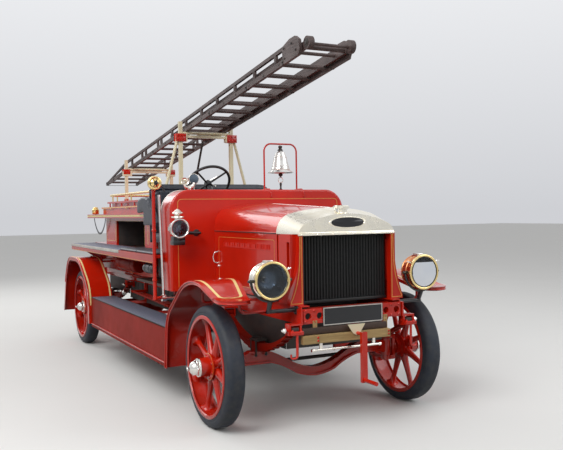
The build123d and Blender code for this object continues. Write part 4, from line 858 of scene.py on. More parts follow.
def frontGuardLines():
    path = guardPath("front", place["frontAxle"])
    lineY, tipX = 0.948, 2.79
    upper = [point for point in cutPath(path, 1.0, tipX) if point.y > 0.7]
    outer = [-lineY] * len(upper)
    inner = [-0.69 - max(0, point.x - 2.42) * 0.245 for point in upper]
    lines = Shape()
    outPoints, outNormals = onSheet(upper, outer)
    inPoints, inNormals = onSheet(upper, inner)
    turn = []
    for k in range(1, 12):  # round the front of the loop
        share = k / 12
        turn.append(Vector((tipX + 0.034 * math.sin(math.pi * share) ** 0.5,
                            -lineY + share * (lineY + inner[-1]), 1.0172)))
    flat = [Vector((0, 0, 1))] * len(turn)
    low = cutPath(path, 2.78, 2.86)
    for point in turn:
        nearest = min(low, key=lambda p: abs(p.x - point.x))
        point.z = nearest.y + 0.0012
    lines.stripe(outPoints + turn + inPoints[::-1], outNormals + flat + inNormals[::-1], 0.022, 0.0011)
    add(lines.mirrored(), "frontGuardLines", "paleGold")
    beads = Shape()
    edge = [point for point in cutPath(path, 1.6, 2.8) if point.y > 0.33]
    beads.tube([(point.x, -1.0005, point.y - 0.006) for point in edge], 0.0055, 8)
    add(beads.mirrored(), "frontGuardBeads", "red")


def rearGuardLines():
    path = guardPath("rear", place["rearAxle"])
    dense = densified([point for point in path if point.y > 0.4], 0.03)
    lines = Shape()
    for y in (-0.996, -0.762):
        points, normals = [], []
        for index, point in enumerate(dense):
            along = (dense[min(index + 1, len(dense) - 1)] - dense[max(index - 1, 0)]).normalized()
            normal = Vector((along.y, 0, -along.x))
            if normal.z < -0.01 or (abs(normal.z) <= 0.01 and normal.x < 0 < point.x - place["rearAxle"]):
                normal = -normal
            points.append(Vector((point.x, y, point.y)) + normal * 0.0006)
            normals.append(normal)
        lines.stripe(points, normals, 0.018, 0.0007)
    add(lines.mirrored(), "rearGuardLines", "paleGold")
    beads = Shape()
    edge = [point for point in dense if point.y > 0.355]
    beads.tube([(point.x, -1.0205, point.y - 0.004) for point in edge], 0.0055, 8)
    add(beads.mirrored(), "rearGuardBeads", "red")


def scuttlePieces():
    x = place["scuttleFront"] + 0.0006
    corner = [(-0.807, 1.706), (-0.806, 1.722), (-0.799, 1.735), (-0.787, 1.744), (-0.77, 1.747)]
    right = [(-0.807, 0.975)] + corner
    face = [Vector((x, y, z)) for y, z in right] + [Vector((x, -y, z)) for y, z in reversed(right)]
    lines = Shape().stripe(face, (1, 0, 0), 0.0045, 0.0006)
    add(lines, "scuttleLines", "gold")
    bead = Shape()
    half, top, radius = place["scuttleHalf"] - 0.006, place["scuttleTop"] - 0.006, 0.184
    outline = [(-half, 0.95), (-half, top - radius)]
    outline += [(-half + radius - radius * math.cos(a), top - radius + radius * math.sin(a))
                for a in (math.pi / 2 * k / 12 for k in range(1, 13))]
    path = [(place["scuttleRear"] - 0.004, y, z) for y, z in outline]
    path += [(px, -y, z) for px, y, z in reversed(path)]
    bead.tube(path, 0.009, 12)
    add(bead, "scuttleBead", "paleNickel")
    stays = Shape()  # flat stays from the bell hoop's feet over the scuttle's edge
    for y in (0.099, 0.441):
        stays.tube(rounded([(1.365, y, 1.8395), (1.47, y, 1.8395), (1.503, y, 1.812), (1.506, y, 1.765)],
                           0.03, 6), 0.0055, 10)
        stays.turned([(0, 0), (0, 22), (5, 22), (8, 14), (8, 0)], (1.365, y, 1.8334), (0, 0, 1), 20)
        nut(stays, (1.5006, y, 1.765), (1, 0, 0), 0.008, 0.005)
    add(stays, "hoopStays", "red")


def louvreRow(shape, side, first, last, count, z):
    pitch = (last - first) / count
    y = side * (place["bonnetHalf"] + 0.0004)
    for index in range(count):
        x = first + pitch * index
        ridge = [Vector((x, y, z + 0.016)), Vector((x + pitch * 0.55, y, z + 0.016)),
                 Vector((x + pitch * 0.55, y, z - 0.016)), Vector((x, y, z - 0.016))]
        lifts = ((0.004, 0.0015), (0, 0.006), (0, 0.006), (0.004, 0.0015))
        crest = [point + Vector((along, side * out, 0)) for point, (along, out) in zip(ridge, lifts)]
        shape.sections([ridge, crest])


def bonnetPieces():
    for side, hand in hands:
        body = f"bonnet_side_{hand}"
        y = side * (place["bonnetHalf"] + 0.0005)
        lines = Shape()
        loop = rounded([(1.6, y, 1.015), (1.6, y, 1.412), (2.705, y, 1.412), (2.705, y, 1.015)], 0.02, 4)
        lines.stripe(loop, (0, side, 0), 0.003, 0.0004, closed=True)
        add(lines, f"bonnetSideLines_{hand}", "gold", body)
        slots = Shape()
        louvreRow(slots, side, 1.72, 2.64, 26, 1.357)
        add(slots, f"bonnetLouvres_{hand}", "red", body)
        handles = Shape().tube(rounded([(1.572, side * 0.466, 1.18), (1.566, side * 0.5, 1.19),
                                        (1.556, side * 0.506, 1.23), (1.566, side * 0.5, 1.272),
                                        (1.572, side * 0.466, 1.282)], 0.02, 5), 0.0055, 10)
        for hx, hz, size in ((1.6, 1.157, 0.013), (1.621, 1.043, 0.01), (2.66, 1.157, 0.013),
                             (2.66, 1.043, 0.01)):
            handles.lathe([(0, 0), (0, size), (0.004, size), (0.01, size * 0.6), (0.018, size * 0.7),
                           (0.022, 0)], (hx, side * 0.466, hz), (0, side, 0), 20)
        for hz in (1.18, 1.282):
            handles.turned([(0, 0), (0, 13), (3, 13), (5, 7), (5, 0)], (1.572, side * 0.466, hz),
                           (0, side, 0), 18)
        add(handles, f"bonnetHandles_{hand}", "nickel", body)


def linePieces():
    frontGuardLines()
    rearGuardLines()
    scuttlePieces()
    bonnetPieces()


linePieces()
print("coach lines done")


# Seats and pads, stuffed by a short cloth run
soft = {"voxel": 0.0075, "pressure": 4.0, "frames": 20, "smoothing": 3}


def baked(piece):  # the piece's modifiers, taken into its mesh
    mesh = bpy.data.meshes.new_from_object(piece.evaluated_get(bpy.context.evaluated_depsgraph_get()))
    piece.modifiers.clear()
    piece.data = mesh
    return mesh


def stuffed(name, shape, look, cap, low, high, sewn=None, replaces=(), voxel=None):
    piece = shape.build(name, look, "chassis", slotOf[look])
    grid = piece.modifiers.new("grid", "REMESH")
    grid.mode, grid.voxel_size = "VOXEL", (voxel or soft["voxel"]) * 1
    mesh = baked(piece)
    work = bmesh.new()
    work.from_mesh(mesh)
    for step in range(soft["smoothing"]):
        bmesh.ops.smooth_vert(work, verts=work.verts, factor=0.5, use_axis_x=True, use_axis_y=True,
                              use_axis_z=True)
    work.to_mesh(mesh)
    work.free()
    rest = [vertex.co.copy() for vertex in mesh.vertices]
    cloth = piece.modifiers.new("stuffing", "CLOTH")
    cloth.settings.use_pressure = True
    cloth.settings.uniform_pressure_force = soft["pressure"]
    cloth.settings.effector_weights.gravity = 0
    cloth.point_cache.frame_end = soft["frames"]
    for step in range(1, soft["frames"] + 1):
        bpy.context.scene.frame_set(step)
    swollen = piece.evaluated_get(bpy.context.evaluated_depsgraph_get()).data
    shifts = [new.co - old for new, old in zip(swollen.vertices, rest)]
    piece.modifiers.remove(cloth)
    for vertex, old, shift in zip(mesh.vertices, rest, shifts):
        vertex.co = old + shift * min(1.0, cap / max(shift.length, 1e-6))
    bpy.context.scene.frame_set(1)
    mesh.update()
    normals = [vertex.normal.copy() for vertex in mesh.vertices]
    for vertex, normal in zip(mesh.vertices, normals):
        if sewn:
            vertex.co = vertex.co + sewn(vertex.co, normal)
        vertex.co = [min(max(vertex.co[k], low[k]), high[k]) for k in range(3)]
    mesh.shade_smooth()
    if replaces:
        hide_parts(*replaces)
    print(name, "stuffed,", len(mesh.polygons), "faces")
    return piece


def groove(distance, width=0.009):  # 1 on a seam, 0 away from it
    return math.exp(-(distance / width) ** 2)


seating = {"seatFront": 0.91, "seatBack": 0.328, "half": 0.678, "low": 1.3303, "top": 1.44,
           "backRear": 0.2103, "backFront": 0.32, "backTop": 1.95, "backHalf": 0.69, "channels": 7,
           "backChannels": 14}


def seatCushions():
    s = seating
    seams = ((s["top"] - 0.03, 0.005), (s["low"] + 0.018, 0.004))  # height and depth of the piped seams
    for name, y0, y1 in (("driverCushion", -s["half"], -0.003), ("officerCushion", 0.003, s["half"])):
        pitch = (y1 - y0) / s["channels"]

        def sewn(point, normal):
            share = (point.y - y0) / pitch
            near = abs(share - round(share)) * pitch
            inner = 0.3 < share < s["channels"] - 0.3
            fade = min(1.0, max(0, min(point.x - s["seatBack"] - 0.02,
                                       s["seatFront"] - 0.045 - point.x) / 0.04))
            down = groove(near) * 0.016 * fade * max(0, normal.z) if inner else 0.0
            rim = sum(groove(abs(point.z - z), 0.006) * deep for z, deep in seams)
            return Vector((0, 0, -down)) - Vector((normal.x, normal.y, 0)) * rim
        shape = Shape().box((s["seatBack"] + 0.01, y0 + 0.008, s["low"] - 0.002),
                            (s["seatFront"] - 0.01, y1 - 0.008, s["top"] - 0.015), 0.018, 3)
        stuffed(name, shape, "leather", 0.013, (s["seatBack"] + 0.001, y0, s["low"]),
                (s["seatFront"], y1, s["top"]), sewn, ["seat_cushion"])
    piping = Shape()
    for y0, y1 in ((-s["half"], -0.003), (0.003, s["half"])):
        for z, deep in seams:
            piping.tube([(s["seatFront"] - 0.0045, y0 + 0.03, z), (s["seatFront"] - 0.0045, y1 - 0.03, z)],
                        0.004, 8)
    add(piping, "cushionPiping", "bag")


def backHeight(y):  # top of the back, rounded at its corners
    half, top, corner = seating["backHalf"], seating["backTop"], 0.13
    over = abs(y) - (half - corner)
    return top if over <= 0 else top - corner + math.sqrt(max(0, corner ** 2 - over ** 2))


def backOutline(inset, low):
    half = seating["backHalf"] - inset
    line = [(-half + 2 * half * k / 48, backHeight(-half + 2 * half * k / 48) - inset) for k in range(49)]
    return [(-half, low)] + line + [(half, low)]


def seatBackPiece():
    s = seating
    pitch = 2 * s["backHalf"] / s["backChannels"]

    def sewn(point, normal):
        share = (point.y + s["backHalf"]) / pitch
        near = abs(share - round(share)) * pitch
        roll = backHeight(point.y) - 0.085
        foot = min(1.0, max(0, (point.z - s["low"] - 0.02) / 0.04))
        fade = min(1.0, max(0, (roll - point.z) / 0.03)) * foot
        face = max(0, normal.x)
        inner = 0.4 < share < s["backChannels"] - 0.4
        return Vector((-(groove(near) * 0.016 * fade * inner
                         + groove(abs(point.z - roll), 0.008) * 0.014) * face, 0, 0))
    shape = Shape().prism(backOutline(0.012, s["low"] - 0.001), (s["backRear"] + 0.03, 0, 0), (0, 1, 0),
                          (0, 0, 1), s["backFront"] - s["backRear"] - 0.044)
    stuffed("pleatedBack", shape, "leather", 0.014, (s["backRear"] + 0.022, -s["backHalf"], s["low"]),
            (s["backFront"], s["backHalf"], s["backTop"]), sewn, ["seat_back"], 0.0085)
    board = Shape().prism(backOutline(0.02, s["low"]), (s["backRear"] + 0.0005, 0, 0), (0, 1, 0),
                          (0, 0, 1), 0.021)
    for k in range(19):
        board.turned([(0, 0), (0, 6), (2, 5), (4, 0)],
                     (s["backRear"] + 0.0046, -0.63 + k * 0.07, s["low"] + 0.05), (-1, 0, 0), 10)
    add(board, "seatBackBoard", "bag")


def tubSides():
    rear, front = -0.03, 0.65
    line = [(rear + 0.008, 1.69), (rear + 0.012, 1.745), (rear + 0.05, 1.782), (rear + 0.13, 1.796),
            (0.18, 1.808), (0.26, 1.808), (0.36, 1.79), (0.44, 1.73), (0.52, 1.658), (0.6, 1.582),
            (front - 0.012, 1.545), (front - 0.012, 1.5), (0.215, 1.5), (0.2, 1.64), (rear + 0.008, 1.64)]
    for side, hand in hands:
        y0, y1 = sorted((side * 0.692, side * 0.738))
        shape = Shape().sections([[Vector((x, y, z)) for x, z in line] for y in (y0, y1)])
        stuffed(f"tubSide_{hand}", shape, "leather", 0.009, (rear, min(side * 0.6902, side * 0.745), 1.49),
                (front, max(side * 0.6902, side * 0.745), 1.82), None, [])


def benchPads():
    for side, hand in hands:
        y0, y1 = sorted((side * 0.66, side * 0.951))
        for index, (x0, x1) in enumerate(((0.041, 0.637), (0.638, 1.23))):
            shape = Shape().box((x0 + 0.001, y0 + 0.003, 1.254), (x1 - 0.001, y1 - 0.003, 1.2735), 0.005, 2)

            def sewn(point, normal):
                share = (point.x - x0) / (x1 - x0) * 4
                near = abs(share - round(share)) * (x1 - x0) / 4
                fade = min(1.0, max(0, min(point.y - y0 - 0.01, y1 - 0.01 - point.y) / 0.03))
                press = groove(near, 0.008) * 0.007 * fade * max(0, normal.z)
                return Vector((0, 0, -press if 0.3 < share < 3.7 else 0))
            stuffed(f"benchPad_{hand}_{index}", shape, "leather", 0.005, (x0, y0, 1.2543),
                    (x1, y1, 1.2785), sewn, ["bench_pads"])


def rolledBag():  # dark roll strapped under the front of the right bench
    centre, axis = (0.85, -0.905, 1.118), (1, 0, 0)
    buckles = (0.923, 1.047)
    shape = Shape().turned([(4, 0), (4, 30), (16, 43), (254, 43), (266, 30), (266, 0)], centre, axis, 28)

    def sewn(point, normal):
        turn = math.atan2(point.z - centre[2], point.y - centre[1])
        strap = groove(abs(point.x - buckles[0]), 0.012) + groove(abs(point.x - buckles[1]), 0.012)
        return normal * (math.sin(3 * turn + point.x * 20) * 0.0016 - strap * 0.004)
    stuffed("rolledBag", shape, "bag", 0.006, (0.846, -0.957, 1.066), (1.124, -0.853, 1.17), sewn, [],
            0.006)
    straps = Shape()
    turns = circle(28)
    for x in buckles:
        straps.stripe([(x, centre[1] + math.cos(a) * 0.0475, centre[2] + math.sin(a) * 0.0475)
                       for a in turns], [facing(a) for a in turns], 0.02, 0.0015, closed=True)
        straps.box((x - 0.01, -0.907, 1.162), (x + 0.01, -0.903, 1.2237), 0.001)
    add(straps, "bagStraps", "leather")


def seatPieces():
    seatCushions()
    seatBackPiece()
    tubSides()
    benchPads()
    rolledBag()


seatPieces()
print("seats done")


# Side benches, running boards and pipes
def benchPieces():
    trims = Shape().box((-2.3405, -0.9585, 1.2235), (0.036, -0.9535, 1.256), 0.0015)
    trims.box((-2.3425, -0.956, 1.2235), (-2.3385, -0.64, 1.256), 0.0015)
    add(trims.mirrored(), "benchEdging", "white")
    slats = Shape()  # grey non-slip covering behind the pads
    slats.box((-2.332, -0.949, 1.2542), (0.034, -0.64, 1.2566), 0.001)
    add(slats.mirrored(), "benchCovering", "mat")
    line = Shape().stripe([(-2.3, -0.9556, 1.184), (1.2, -0.9556, 1.184)], (0, -1, 0), 0.0045, 0.0004)
    add(line.mirrored(), "benchLines", "gold")


def boardPieces():
    low, high = -1.098, 1.64
    mat = Shape().box((low, -0.984, 0.6593), (high, -0.728, 0.6635), 0.0012)
    add(mat.mirrored(), "boardMat", "mat")
    edging = Shape().box((low - 0.004, -0.99, 0.652), (high + 0.004, -0.9835, 0.6655), 0.002)
    edging.box((low - 0.004, -0.7285, 0.652), (high + 0.004, -0.7215, 0.6655), 0.002)
    for k in range(22):
        edging.turned([(0, 0), (0, 4), (1.5, 3), (2, 0)], (low + 0.06 + k * 0.125, -0.9885, 0.66),
                      (0, -1, 0), 8)
    add(edging.mirrored(), "boardEdging", "iron")
    moulding = Shape().tube([(low + 0.012, -0.9958, 0.361), (1.65, -0.9958, 0.361)], 0.0068, 10)
    add(moulding.mirrored(), "valanceMoulding", "red")


def pipePieces():  # stowed pipes and rods along the side member
    pipeY, tailY, tailZ = -0.604, -0.3, 0.69
    pipes = Shape().tube([(-1.0, pipeY, 0.93), (0.1, pipeY, 0.922)], 0.013, 14)
    pipes.tube([(-0.77, pipeY, 0.742), (0.595, pipeY, 0.7)], 0.011, 14)
    pipes.tube(rounded([(-0.96, -0.47, 0.7), (-0.2, -0.47, 0.69), (0.6, -0.47, 0.67), (0.9, -0.455, 0.64)],
                       0.2, 8), 0.024, 16)
    for x, z in ((-0.66, 0.925), (-0.05, 0.921)):
        pipes.box((x - 0.012, -0.618, z - 0.016), (x + 0.012, -0.59, 0.948), 0.003)
    for x, z in ((-0.7, 0.74), (0.5, 0.703)):
        pipes.box((x - 0.012, -0.616, z - 0.014), (x + 0.012, -0.428, z + 0.014), 0.003)
        pipes.box((x - 0.012, -0.446, z), (x + 0.012, -memberFace, 0.86), 0.003)
    # the stowed pipes take the painted-shade copy of the red
    add(pipes, "stowedPipes", "paintedShadeRed")
    caps = Shape().turned([(0, 0), (0, 26), (10, 31), (34, 31), (40, 26), (52, 20), (56, 0)],
                          (-0.99, -0.6, 0.706), (-0.3, -0.95, 0), 24)
    caps.turned([(0, 0), (0, 18), (30, 18), (34, 0)], (0.108, pipeY, 0.922), (1, 0, 0), 16)
    add(caps, "pipeCaps", "nickel")
    exhaust = Shape()  # silencer and tail pipe under the frame
    exhaust.turned([(0, 0), (0, 30), (30, 70), (50, 78), (860, 78), (880, 70), (910, 30), (910, 0)],
                   (-0.66, tailY, tailZ), (1, 0, 0), 32)
    exhaust.tube(rounded([(0.24, tailY, tailZ), (0.7, -0.3, 0.72), (1.2, -0.29, 0.78),
                          (1.62, -0.285, 0.83)], 0.2, 8), 0.026, 14)
    exhaust.tube(rounded([(-0.66, tailY, tailZ), (-1.2, tailY, tailZ), (-1.4, -0.3, 0.655)], 0.1, 6),
                 0.026, 14)
    for x in (-0.55, -0.22, 0.12):
        exhaust.box((x - 0.01, -0.306, 0.76), (x + 0.01, -0.294, 0.86), 0.002)
        exhaust.box((x - 0.01, -0.432, 0.852), (x + 0.01, -0.294, 0.862), 0.002)
    add(exhaust, "silencer", "iron")
    rods = Shape()  # brake rods
    for y in (-0.385, 0.385):
        rods.tube([(0.85, y, 0.77), (-1.3, y, 0.7)], 0.0065, 8)
    add(rods, "brakeRods", "iron")


benchPieces()
boardPieces()
pipePieces()
print("benches and boards done")


# Body panels and tiers
def bodyPieces():
    y = place["bodyHalf"] + 0.0006
    lines = Shape()
    loop = [(-1.868, -y, 1.3), (-1.868, -y, 1.548), (-1.452, -y, 1.548), (-1.452, -y, 1.3)]
    lines.stripe(rounded(loop + loop[:1], 0.02, 4)[:-1], (0, -1, 0), 0.005, 0.0005, closed=True)
    lines.stripe([(-0.09, -y, 1.292), (-0.09, -y, 1.556)], (0, -1, 0), 0.009, 0.0005)
    loop = [(-2.49, -y, 1.0), (-2.49, -y, 1.16), (-2.38, -y, 1.16), (-2.38, -y, 1.0)]
    lines.stripe(loop, (0, -1, 0), 0.005, 0.0005, closed=True)
    add(lines.mirrored(), "bodyLines", "paleGold")
    edges = Shape()  # cream edges of the tiers
    edges.stripe([(-2.5336, -0.7006, 1.606), (0.19, -0.7006, 1.606)], (0, -1, 0), 0.02, 0.0006)
    edges.stripe([(-2.24, -0.5686, 1.712), (0.19, -0.5686, 1.712)], (0, -1, 0), 0.01, 0.0005)
    edges.mirrored()
    edges.stripe([(-2.5342, 0.699, 1.606), (-2.5342, -0.699, 1.606)], (-1, 0, 0), 0.02, 0.0006)
    add(edges, "tierEdges", "paleGold")
    posts = Shape()  # turned posts between the box lid and the top board
    for x in (-2.13, -1.55, -0.97, -0.39, 0.1):
        posts.turned([(0, 0), (0, 14), (8, 14), (12, 8), (30, 10), (42, 8), (46, 13), (48.5, 13),
                      (48.5, 0)], (x, -0.49, 1.7198), (0, 0, 1), 16)
    add(posts.mirrored(), "tierPosts", "red")
    hinges = Shape()
    for x in (-1.8, -1.05, -0.35):
        hinges.box((x - 0.03, -0.5695, 1.688), (x + 0.03, -0.5665, 1.716), 0.001)
        hinges.tube([(x - 0.03, -0.571, 1.7), (x + 0.03, -0.571, 1.7)], 0.004, 8)
    add(hinges.mirrored(), "lidHinges", "brass")
    strap = Shape()  # dark strap hanging in a curve under the shelf
    curve = [(-2.43 + 0.62 * k / 20, -0.632, 1.578 - 0.2 * math.sin(math.pi * k / 20) ** 0.7)
             for k in range(21)]
    strap.stripe(curve, (0, -1, 0), 0.024, 0.0022)
    add(strap, "shelfStrap", "bag")
    locker = Shape()  # lining rail and floor slats of the locker
    for k in range(7):
        y0 = -0.52 + k * 0.16
        locker.box((-1.405, y0, 1.2254), (-0.205, y0 + 0.11, 1.238), 0.002)
    add(locker, "lockerSlats", "board")
    frameLine = Shape().stripe([(-1.398, -y, 1.285), (-1.398, -y, 1.5465), (-0.212, -y, 1.5465),
                                (-0.212, -y, 1.285)], (0, -1, 0), 0.006, 0.0005)
    add(frameLine, "lockerFrameLine", "gold")


def tailLamp():
    x, y, z = -2.545, -0.6, 1.655
    lamp = Shape().turned([(0, 0), (0, 40), (8, 46), (60, 46), (70, 38), (82, 30), (88, 34), (94, 26),
                           (100, 0)], (x + 0.058, y, z - 0.024), (0, 0, 1), 28)
    lamp.turned([(-10, 0), (-10, 30), (0, 36), (10, 38), (13, 33), (6, 30), (4, 0)],
                (x + 0.02, y, z + 0.012), (-1, 0, 0), 28)
    lamp.box((x + 0.046, y - 0.01, 1.6284), (x + 0.07, y + 0.01, z - 0.02), 0.002)
    add(lamp, "tailLamp", "brass")
    lens = Shape().turned([(0, 0), (0, 29), (5, 24), (9, 12), (10, 0)], (x + 0.012, y, z + 0.012),
                          (-1, 0, 0), 24)
    add(lens, "tailLens", "lens")


bodyPieces()
tailLamp()
print("body done")


# Fittings on the scuttle and beside it
def sirenPiece():
    x, y, z = 1.322, -0.958, 1.895
    rotorX, postX = x + 0.038, x - 0.036
    horn = Shape().turned([(50, 0), (50, 10), (36, 13), (30, 24), (28, 30), (20, 40), (24, 52), (20, 60),
                           (10, 63), (0, 62), (-20, 60), (-34, 56), (-46, 42), (-60, 34), (-96, 30),
                           (-100, 24), (-100, 0)], (x, y, z), (1, 0, 0), 44)
    add(horn, "sirenHorn", "paleBrass", replaces=["siren"])
    hub = Shape().turned([(0, 0), (0, 16), (10, 20), (14, 18), (16, 8), (18, 0)], (rotorX, y, z),
                         (1, 0, 0), 24)
    for turn in circle(6):
        hub.tube([(rotorX, y + math.cos(turn) * 0.014, z + math.sin(turn) * 0.014),
                  (x + 0.03, y + math.cos(turn) * 0.044, z + math.sin(turn) * 0.044)], 0.0024, 6)
    hub.tube(rounded([(x - 0.06, y, z - 0.01), (x - 0.03, y + 0.06, z - 0.018),
                      (x - 0.04, y + 0.09, z - 0.04), (x - 0.05, y + 0.105, z - 0.075)], 0.03, 5), 0.007,
             10)
    hub.turned([(0, 0), (0, 20), (12, 24), (40, 24), (50, 16), (50, 0)], (x - 0.098, y, z), (-1, 0, 0), 20)
    add(hub, "sirenHub", "black")
    post = Shape().turned([(0, 0), (0, 20), (10, 21), (30, 16.5), (900, 15.5), (960, 15.5), (975, 20),
                           (1000, 22), (1010, 18), (1012, 0)], (postX, y, 0.858), (0, 0, 1), 20)
    post.tube([(postX, y - 0.004, 0.874), (postX, -memberFace, 0.874)], 0.013, 14)
    for z0 in (1.02, 1.46):
        post.turned([(0, 16), (4, 21), (22, 21), (26, 16)], (postX, y, z0), (0, 0, 1), 20)
    add(post, "sirenPost", "red")


def mirrorPiece():
    x, y, z, r = 1.322, -0.589, 1.933, 0.05
    stemX = x - 0.003
    rim = Shape().lathe([(-0.008, 0), (-0.008, r - 0.014), (-0.003, r - 0.003), (0.003, r),
                         (0.008, r - 0.001), (0.0085, r - 0.004), (0.005, r - 0.006), (0.004, 0)],
                        (x, y, z), (1, 0, 0), 40)
    rim.tube([(stemX, y, z - r + 0.004), (stemX, y, 1.8336)], 0.0048, 12)
    rim.turned([(0, 0), (0, 14), (4, 13), (10, 7), (12, 0)], (stemX, y, 1.8332), (0, 0, 1), 16)
    add(rim, "mirrorRim", "paleNickel", replaces=["mirror"])
    face = Shape().lathe([(0, 0), (0, r - 0.0065), (0.0018, r - 0.007), (0.0028, r - 0.012), (0.0036, 0)],
                         (x + 0.0042, y, z), (1, 0, 0), 36)
    # mirror face in the blue-grey metal, a painted reflection
    add(face, "mirrorFace", "paintedReflectionMetal")


def hornPiece():
    x, y, z = 1.4, -0.664, 1.893
    curl = Shape()
    points = []
    for k in range(25):
        turn = math.radians(172 + 172 * k / 24)
        points.append((x + 0.012 * math.sin(turn), y + math.cos(turn) * -0.048, z + math.sin(turn) * 0.042))
    last = len(points) - 1
    sections = []
    for index, point in enumerate(points):
        before, after = Vector(points[max(index - 1, 0)]), Vector(points[min(index + 1, last)])
        across, up = frameOf(after - before)[1:]
        size = 0.007 + 0.012 * math.sin(math.pi * min(1.0, index / last * 1.1)) ** 0.8
        sections.append(ringAt(Vector(point), across, up, size, 14))
    curl.sections(sections)
    curl.turned([(0, 0), (0, 10), (30, 12), (52, 20), (64, 33), (66, 34), (64, 30), (50, 16), (20, 8),
                 (20, 0)], (x - 0.01, y - 0.046, z + 0.006), (0.95, -0.15, 0.1), 28)
    curl.box((x - 0.016, y - 0.012, 1.8333), (x + 0.016, y + 0.012, 1.857), 0.003)
    add(curl, "hornCurl", "paleNickel", replaces=["bulb_horn"])
    bulb = Shape().turned([(0, 0), (2, 12), (10, 24), (26, 33), (44, 35), (60, 29), (72, 18), (80, 12),
                           (86, 11), (86, 0)], (x - 0.134, y + 0.048, z - 0.02), (1, 0, 0.02), 24)
    bulb.tube([(x - 0.052, y + 0.048, z - 0.019), (x + 0.004, y + 0.046, z - 0.004)], 0.006, 10)
    add(bulb, "hornBulb", "rubber")
    cap = Shape().turned([(0, 0), (0, 18), (8, 22), (20, 22), (30, 14), (32, 0)],
                         (x - 0.004, y - 0.02, 1.905), (0, 0, 1), 20)
    add(cap, "hornCap", "red")


def bellDetails():
    x, y, mouth = 1.365, 0.27, 1.994
    rings = Shape()
    for z, r in ((mouth + 0.01, 0.115), (mouth + 0.034, 0.09), (mouth + 0.062, 0.08),
                 (mouth + 0.148, 0.0615)):
        rings.lathe([(-0.0022, r - 0.001), (0, r + 0.0022), (0.0022, r - 0.001), (0, r - 0.004)],
                    (x, y, z), (0, 0, 1), 56, closed=True)
    rings.tube([(x, y + 0.0245 * math.cos(a), 1.927 + 0.0245 * math.sin(a)) for a in circle(36)], 0.0035,
               8, closed=True)
    add(rings, "bellRings", "paleNickel")
    stem = Shape().turned([(0, 0), (0, 17), (6, 17), (10, 9), (30, 8), (48, 10), (56, 13), (62, 10),
                           (67, 6), (68, 0)], (x, y, 1.8333), (0, 0, 1), 20)
    stem.turned([(0, 0), (1, 6), (8, 8), (16, 18), (24, 21), (34, 19), (40, 10), (44, 0)], (x, y, 1.952),
                (0, 0, 1), 24)
    stem.turned([(0, 0), (0, 26), (6, 28), (12, 18), (22, 14), (30, 19), (40, 19), (48, 10), (52, 0)],
                (x, y, 2.206), (0, 0, 1), 24)
    add(stem, "bellStem", "iron")


def towHooks():
    x, face, springY = 3.1, 3.076, 0.49
    rodZ, rodEnds = 0.63, (-0.366, 0.204)
    hooks = Shape()
    path = rounded([(x, -springY, 0.77), (x, -springY, 0.586), (x, -springY - 0.05, 0.586),
                    (x, -springY - 0.05, 0.618)], 0.03, 8)
    hooks.tube(path, 0.0098, 14, taper=0.006)
    hooks.box((face + 0.0003, -springY - 0.05, 0.748), (x + 0.0098, -springY + 0.05, 0.776), 0.004)
    for dy in (-0.034, 0.034):
        nut(hooks, (x - 0.004, -springY + dy, 0.776), (0, 0, 1), 0.01, 0.008)
    add(hooks.mirrored(), "towHooks", "red", replaces=["tow_hooks"])
    rod = Shape().tube([(x, rodEnds[0], rodZ), (x, rodEnds[1], rodZ)], 0.009, 16)
    for y in rodEnds:
        rod.turned([(-10, 0), (-10, 12), (0, 14), (10, 12), (10, 0)], (x, y, rodZ), (0, 1, 0), 16)
    for y in (-0.3, 0.15):
        rod.box((x - 0.006, y - 0.012, rodZ), (x + 0.006, y + 0.012, 0.6797), 0.002)
    add(rod, "hangingRod", "paleNickel")
    lug = Shape()  # cream triangular lug under the plate
    lug.prism([(-0.075, 0.795), (0.075, 0.795), (0.03, 0.73), (0, 0.712), (-0.03, 0.73)],
              (3.1165, -0.01, 0), (0, 1, 0), (0, 0, 1), 0.006)
    add(lug, "plateLug", "cream")


def brakeLever():
    y = -0.905
    handle = Shape().turned([(0, 0), (0, 11), (6, 14.5), (60, 15.5), (110, 14.5), (122, 12), (128, 6),
                             (129, 0)], (1.2818, y, 1.664), (-0.109, 0, 0.994), 20)
    add(handle, "brakeGrip", "black")
    trigger = Shape().tube(rounded([(1.287, y, 1.64), (1.316, y, 1.664), (1.3, y, 1.775)], 0.02, 6),
                           0.0038, 8)
    trigger.tube([(1.306, y, 1.63), (1.378, y, 0.96)], 0.0028, 8)
    for z, x in ((1.56, 1.3), (1.3, 1.345), (1.06, 1.368)):
        trigger.box((x - 0.012, -0.911, z - 0.006), (x + 0.014, -0.899, z + 0.006), 0.002)
    add(trigger, "brakeTrigger", "nickel")


